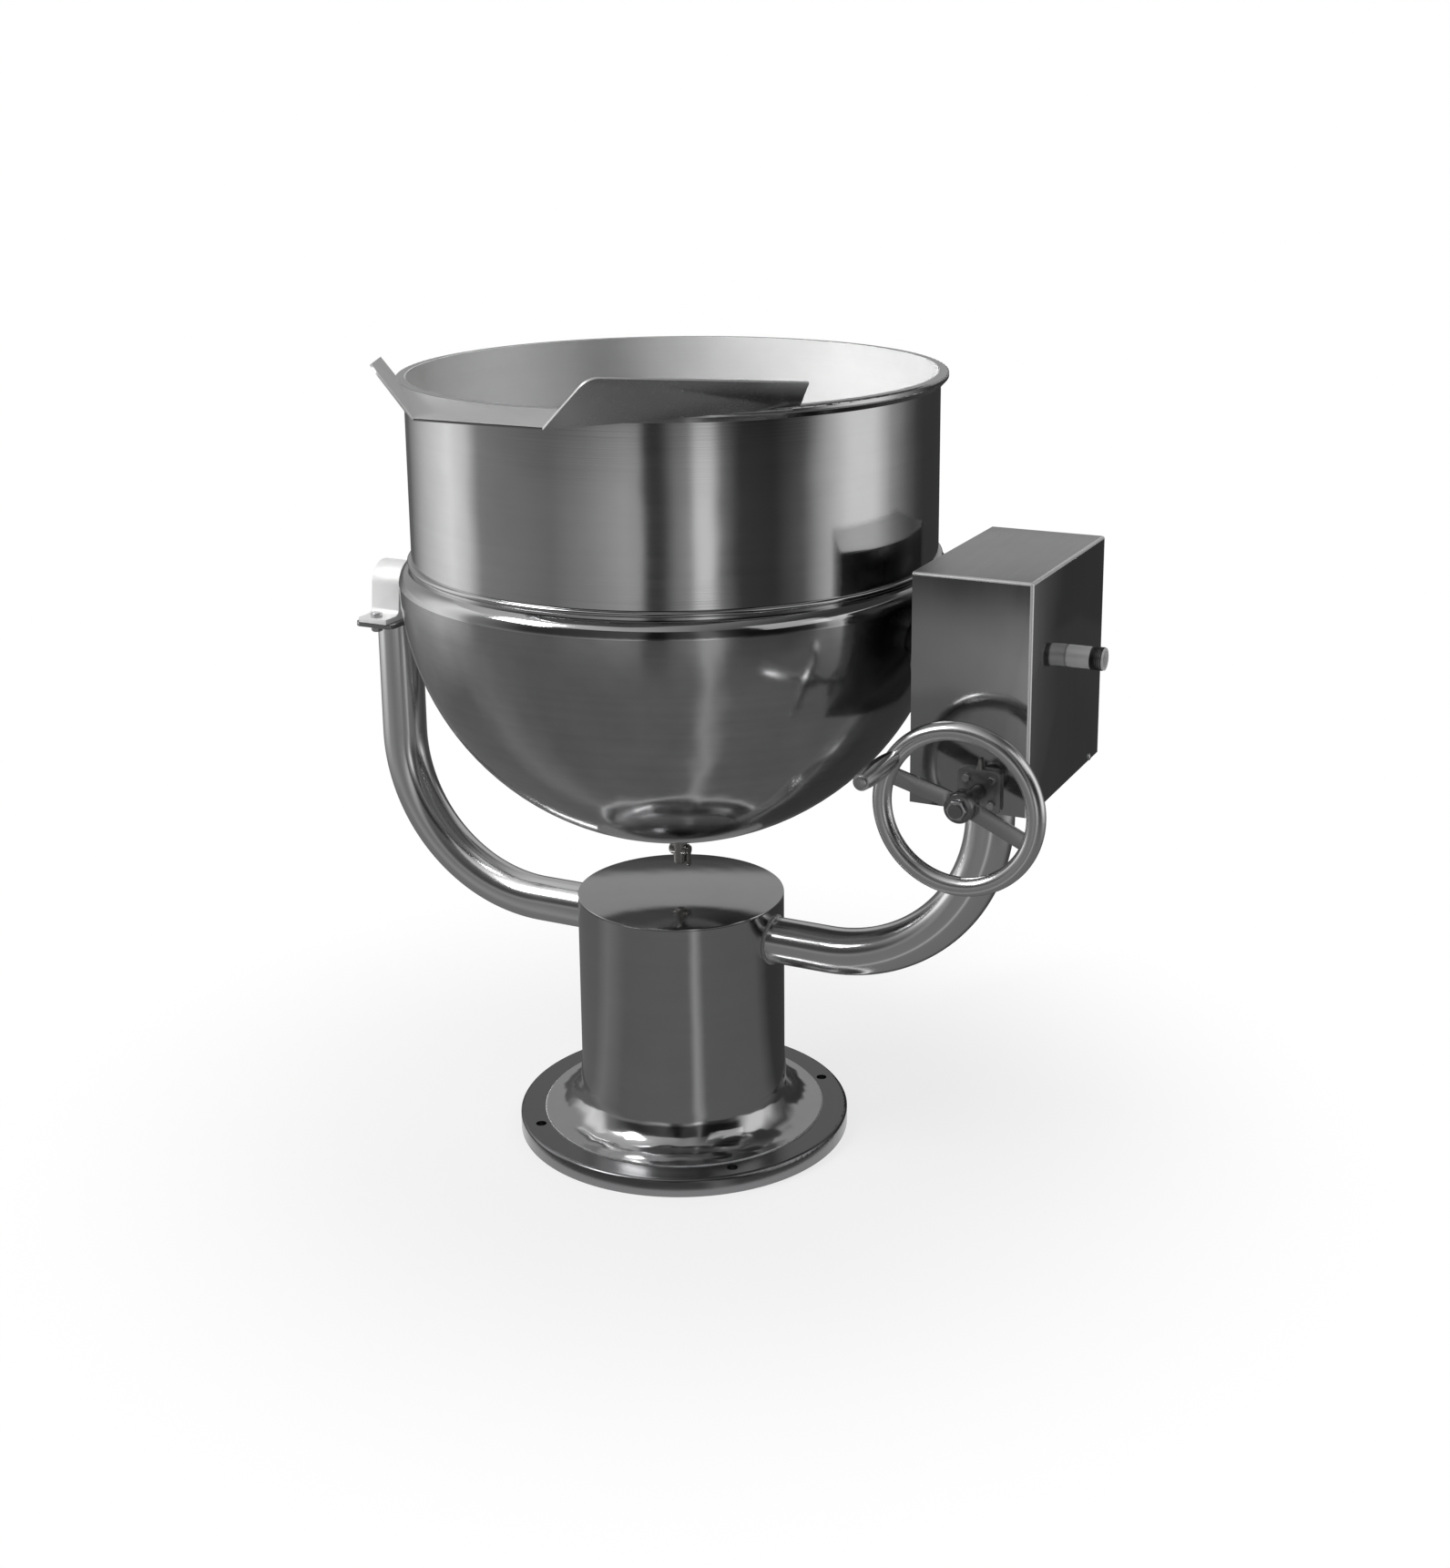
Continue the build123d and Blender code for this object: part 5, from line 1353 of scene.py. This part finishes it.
@dataclass
class Studio:
    """A pale floor, soft light, the screens that a polished surface mirrors, and the camera.

    The screens' levels go by azimuth from the camera's direction in degrees, growing to the right.
    """

    camera_azimuth: float = math.radians(27.56)
    camera_distance: float = 2.711
    camera_height: float = 1.3875
    camera_down: float = math.radians(14.49)
    camera_aside: float = math.radians(1.309)
    camera_roll: float = math.radians(-0.594)
    lens: float = 50.05
    long_side: float = 36.0
    frame_shift: float = -0.10
    floor_half: float = 9.0
    floor_tones: tuple[float, float] = (0.84, 0.88)
    floor_patches: float = 6.0  # per metre
    floor_fade: tuple[float, float] = (0.3, 0.95)  # radii between which it turns white
    air_level: float = 0.45
    floor_shade: float = 0.72
    screen_ring: float = 3.4
    screen_height: float = 3.2
    screen_steps: int = 96
    floor_screen_inside: float = 0.235
    floor_screen_height: float = 2 * MM
    ceiling_inside: float = 0.02
    ceiling_left: float = 0.55
    ceiling_right: float = 0.05
    full_level: float = 1.2
    low_stops: Stops = (  # the wall
        (-180, 0.08), (-150, 0.13), (-124, 0.70), (-105, 1.05), (-94, 0.80), (-86, 0.28),
        (-50, 0.20), (-35, 0.30), (-20, 0.46), (-14, 0.43), (-11, 0.05), (-5, 0.05),
        (0, 0.25), (6, 0.35), (9, 0.85), (14, 0.85), (18, 0.22), (25, 0.05),
        (40, 0.04), (52, 0.12), (61, 0.45), (75, 0.88), (88, 0.88), (100, 0.36),
        (112, 0.14), (122, 0.05), (160, 0.04), (180, 0.08),
    )
    floor_stops: Stops = (  # the floor near the object
        (-180, 0.14), (-100, 0.16), (-84, 0.24), (-60, 0.15), (-20, 0.16), (6, 0.16),
        (12, 0.42), (20, 0.15), (80, 0.14), (100, 0.05), (150, 0.05), (180, 0.14),
    )
    # 1 behind the object, where the wall turns to an even grey high up, and 0 elsewhere
    back_stops: Stops = ((-180, 1.0), (-135, 1.0), (-115, 0.0), (118, 0.0), (135, 1.0), (180, 1.0))
    high: tuple[float, float] = (0.70, 0.98)
    high_level: float = 0.36
    # 1 in front of the object, where the wall is dimmed upwards, and 0 elsewhere
    front_stops: Stops = ((-180, 0.0), (-85, 0.0), (-60, 1.0), (52, 1.0), (62, 0.0), (180, 0.0))
    front: tuple[float, float] = (0.3, 0.8)
    front_dimming: float = 0.8
    far_floor: tuple[float, float] = (1.2, 3.0)  # radii between which it takes the wall's shine
    floor_far_share: float = 0.6
    floor_far_level: float = 0.03
    ceiling_share: float = 0.6  # of the ring, to each side, over which the ceiling changes
    lamps: tuple[Lamp, ...] = (
        Lamp("key_lamp", (-1.7, -1.9, 2.9), 1.4, 52.0),
        Lamp("fill_lamp", (2.6, -0.6, 2.6), 1.6, 4.0),
        Lamp("back_lamp", (0.4, 2.6, 2.6), 2.0, 12.0, mirrored=False),
        Lamp("bowl_lamp", (-1.3, -0.9, 2.3), 0.4, 8.0, (0.10, 0.30, 0.90), math.radians(20)),
    )

    def build(self) -> None:
        """Builds the floor, the world, the lamps, the screens and the camera."""
        bpy.context.scene.view_settings.view_transform = "Standard"
        self.build_world()
        self.build_floor()
        for lamp in self.lamps:
            self.hang(lamp)
        ring = self.screen_ring
        low = self.floor_screen_height
        self.build_screen("wall_screen", ((ring, 0.0), (ring, self.screen_height)), self.wall_glow)
        self.build_screen("floor_screen", ((self.floor_screen_inside, low), (ring, low)), self.floor_glow)
        high = self.screen_height
        self.build_screen("ceiling_screen", ((self.ceiling_inside, high), (ring, high)), self.ceiling_glow)
        self.build_camera()

    def build_world(self) -> None:
        """Makes the world white to look at and plain to be lit by."""
        world = bpy.data.worlds.new("studio_air")
        bpy.context.scene.world = world
        world.use_nodes = True
        world.node_tree.nodes.clear()
        graph = Graph(world.node_tree)
        strength = self.seen_directly(graph) * (1 - self.air_level) + self.air_level
        background = graph.add("ShaderNodeBackground", {}, {"Color": grey(1.0), "Strength": strength})
        graph.add("ShaderNodeOutputWorld", {}, {"Surface": background})

    @staticmethod
    def seen_directly(graph: Graph) -> Value:
        """Tells what is looked at, also in metal or through glass, from what only lights.

        Args:
            graph: The graph to add the nodes to.

        Returns:
            1 where the ray comes from the camera, a reflection or a transmission, and 0 elsewhere.
        """
        path = graph.add("ShaderNodeLightPath").socket.node
        names = ("Camera", "Glossy", "Transmission")
        camera, glossy, passed = (Value(graph, path.outputs[f"Is {name} Ray"]) for name in names)
        return graph.maths("MAXIMUM", graph.maths("MAXIMUM", camera, glossy), passed)

    def build_floor(self) -> None:
        """Lays the floor, which keeps the shadow and fades into white far off."""
        mesh = bpy.data.meshes.new("studio_floor")
        half = self.floor_half
        corners = [(-half, -half, 0), (half, -half, 0), (half, half, 0), (-half, half, 0)]
        mesh.from_pydata(corners, [], [(0, 1, 2, 3)])
        floor = set_up("studio_floor", mesh)
        material, graph = blank_material("pale_floor")
        place = graph.coordinates()
        far = graph.add("ShaderNodeVectorMath", {"operation": "LENGTH"}, {0: place}, "Value")
        fade = graph.rescale(far, self.floor_fade, (self.floor_shade, 1.0)) * self.seen_directly(graph)
        mottling = graph.noise(place, self.floor_patches, 4.0, 0.6)
        colour = graph.mix_colour(mottling, *map(grey, self.floor_tones))
        matt = graph.add("ShaderNodeBsdfDiffuse", {}, {"Color": colour})
        white = graph.add("ShaderNodeEmission", {}, {"Color": grey(1.0), "Strength": 1.0})
        surface = graph.add("ShaderNodeMixShader", {}, {0: fade, 1: matt, 2: white})
        graph.add("ShaderNodeOutputMaterial", {}, {"Surface": surface})
        mesh.materials.append(material)

    @staticmethod
    def hang(kind: Lamp) -> None:
        """Hangs a lamp.

        Args:
            kind: The lamp.
        """
        light = bpy.data.lights.new(kind.name, "AREA")
        light.size = kind.size
        light.energy = kind.power
        light.spread = kind.spread
        holder = set_up(kind.name, light)
        holder.location = kind.place
        holder.visible_glossy = kind.mirrored
        aim = Vector(kind.aim) - Vector(kind.place)
        holder.rotation_euler = aim.to_track_quat("-Z", "Y").to_euler()

    def build_screen(
        self,
        name: str,
        edges: tuple[tuple[float, float], tuple[float, float]],
        glow: Callable[[Graph, Site], Value],
    ) -> None:
        """Builds a round screen that only reflections see.

        Args:
            name: Its name.
            edges: Radius and height of its two edges.
            glow: What gives its level at a site.
        """
        steps = self.screen_steps
        points = []
        for radius, height in edges:
            points += [tuple(point) for point in circle(UP * height, RIGHT, BACK, radius, steps)]
        faces = [(i, (i + 1) % steps, steps + (i + 1) % steps, steps + i) for i in range(steps)]
        mesh = bpy.data.meshes.new(name)
        mesh.from_pydata(points, [], faces)
        screen = set_up(name, mesh)
        material, graph = blank_material(name)
        sockets = {"Vector": graph.coordinates(), "Angle": -self.camera_azimuth}
        turned = graph.add("ShaderNodeVectorRotate", {"rotation_type": "Z_AXIS"}, sockets)
        x, y, z = graph.split(turned)
        share = graph.maths("ARCTAN2", x, y * -1) / (2 * math.pi) + 0.5
        radius = graph.length(x, y)
        strength = glow(graph, Site(x, z, share, radius))
        shader = graph.add("ShaderNodeEmission", {}, {"Color": grey(1.0), "Strength": strength})
        graph.add("ShaderNodeOutputMaterial", {}, {"Surface": shader})
        mesh.materials.append(material)
        screen.visible_camera = False
        screen.visible_diffuse = False
        screen.visible_shadow = False

    def level(self, graph: Graph, share: Value, stops: Stops) -> Value:
        """Looks up a level by the azimuth's share of a turn."""
        ramp = [(azimuth / 360 + 0.5, level / self.full_level) for azimuth, level in stops]
        return graph.ramp(share, ramp) * self.full_level

    def wall_glow(self, graph: Graph, site: Site) -> Value:
        """Gives the wall's level: bands, dimmed upwards in front, and even and grey high up behind.

        Args:
            graph: The screen's graph.
            site: Where the point is.

        Returns:
            The level.
        """
        bands = self.level(graph, site.share, self.low_stops)
        behind = self.level(graph, site.share, self.back_stops)
        front = self.level(graph, site.share, self.front_stops)
        dimming = graph.rescale(site.height, self.front, (0.0, self.front_dimming))
        bands = bands * (1 - front * dimming)
        return bands + graph.rescale(site.height, self.high) * behind * (self.high_level - bands)

    def floor_glow(self, graph: Graph, site: Site) -> Value:
        """Gives the floor's level: its own near the object, and the wall's shine far off.

        Args:
            graph: The screen's graph.
            site: Where the point is.

        Returns:
            The level.
        """
        near = self.level(graph, site.share, self.floor_stops)
        far = self.level(graph, site.share, self.low_stops) * self.floor_far_share + self.floor_far_level
        out = graph.rescale(site.radius, self.far_floor, interpolation="LINEAR")
        return near + out * (far - near)

    def ceiling_glow(self, graph: Graph, site: Site) -> Value:
        """Gives the ceiling's level, bright on the left and dim on the right."""
        reach = self.screen_ring * self.ceiling_share
        return graph.rescale(site.right, (-reach, reach), (self.ceiling_left, self.ceiling_right))

    def build_camera(self) -> None:
        """Places the camera."""
        azimuth = self.camera_azimuth
        across = Vector((math.cos(azimuth), math.sin(azimuth), 0))
        ahead = Vector((-math.sin(azimuth), math.cos(azimuth), 0))
        place = -ahead * self.camera_distance + UP * self.camera_height
        ahead, across = self.swung(ahead, across, self.camera_aside)
        ahead, up = self.swung(ahead, UP, -self.camera_down)
        across, up = self.swung(across, up, self.camera_roll)
        data = bpy.data.cameras.new("camera")
        data.lens = self.lens
        data.sensor_width = self.long_side
        data.shift_y = self.frame_shift
        camera = set_up("camera", data)
        turn = Matrix((across, up, -ahead)).transposed().to_4x4()
        camera.matrix_world = Matrix.Translation(place) @ turn
        bpy.context.scene.camera = camera

    @staticmethod
    def swung(first: Vector, second: Vector, angle: float) -> tuple[Vector, Vector]:
        """Turns two square directions in their own plane, the first towards the second."""
        along, across = math.cos(angle), math.sin(angle)
        return first * along + second * across, second * along - first * across


def main() -> None:
    """Builds the looks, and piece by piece."""
    logging.basicConfig(level=logging.INFO, format="%(message)s")
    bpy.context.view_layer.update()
    workshop = Workshop()
    kinds = (Vessel, Jacket, Pedestal, Arms, Bearings, Console, WormDrive, Handwheel, Drain)
    for kind in kinds:
        log.info("building %s", kind.__name__)
        kind().build(workshop)
    Studio().build()


if __name__ == "__main__":
    main()
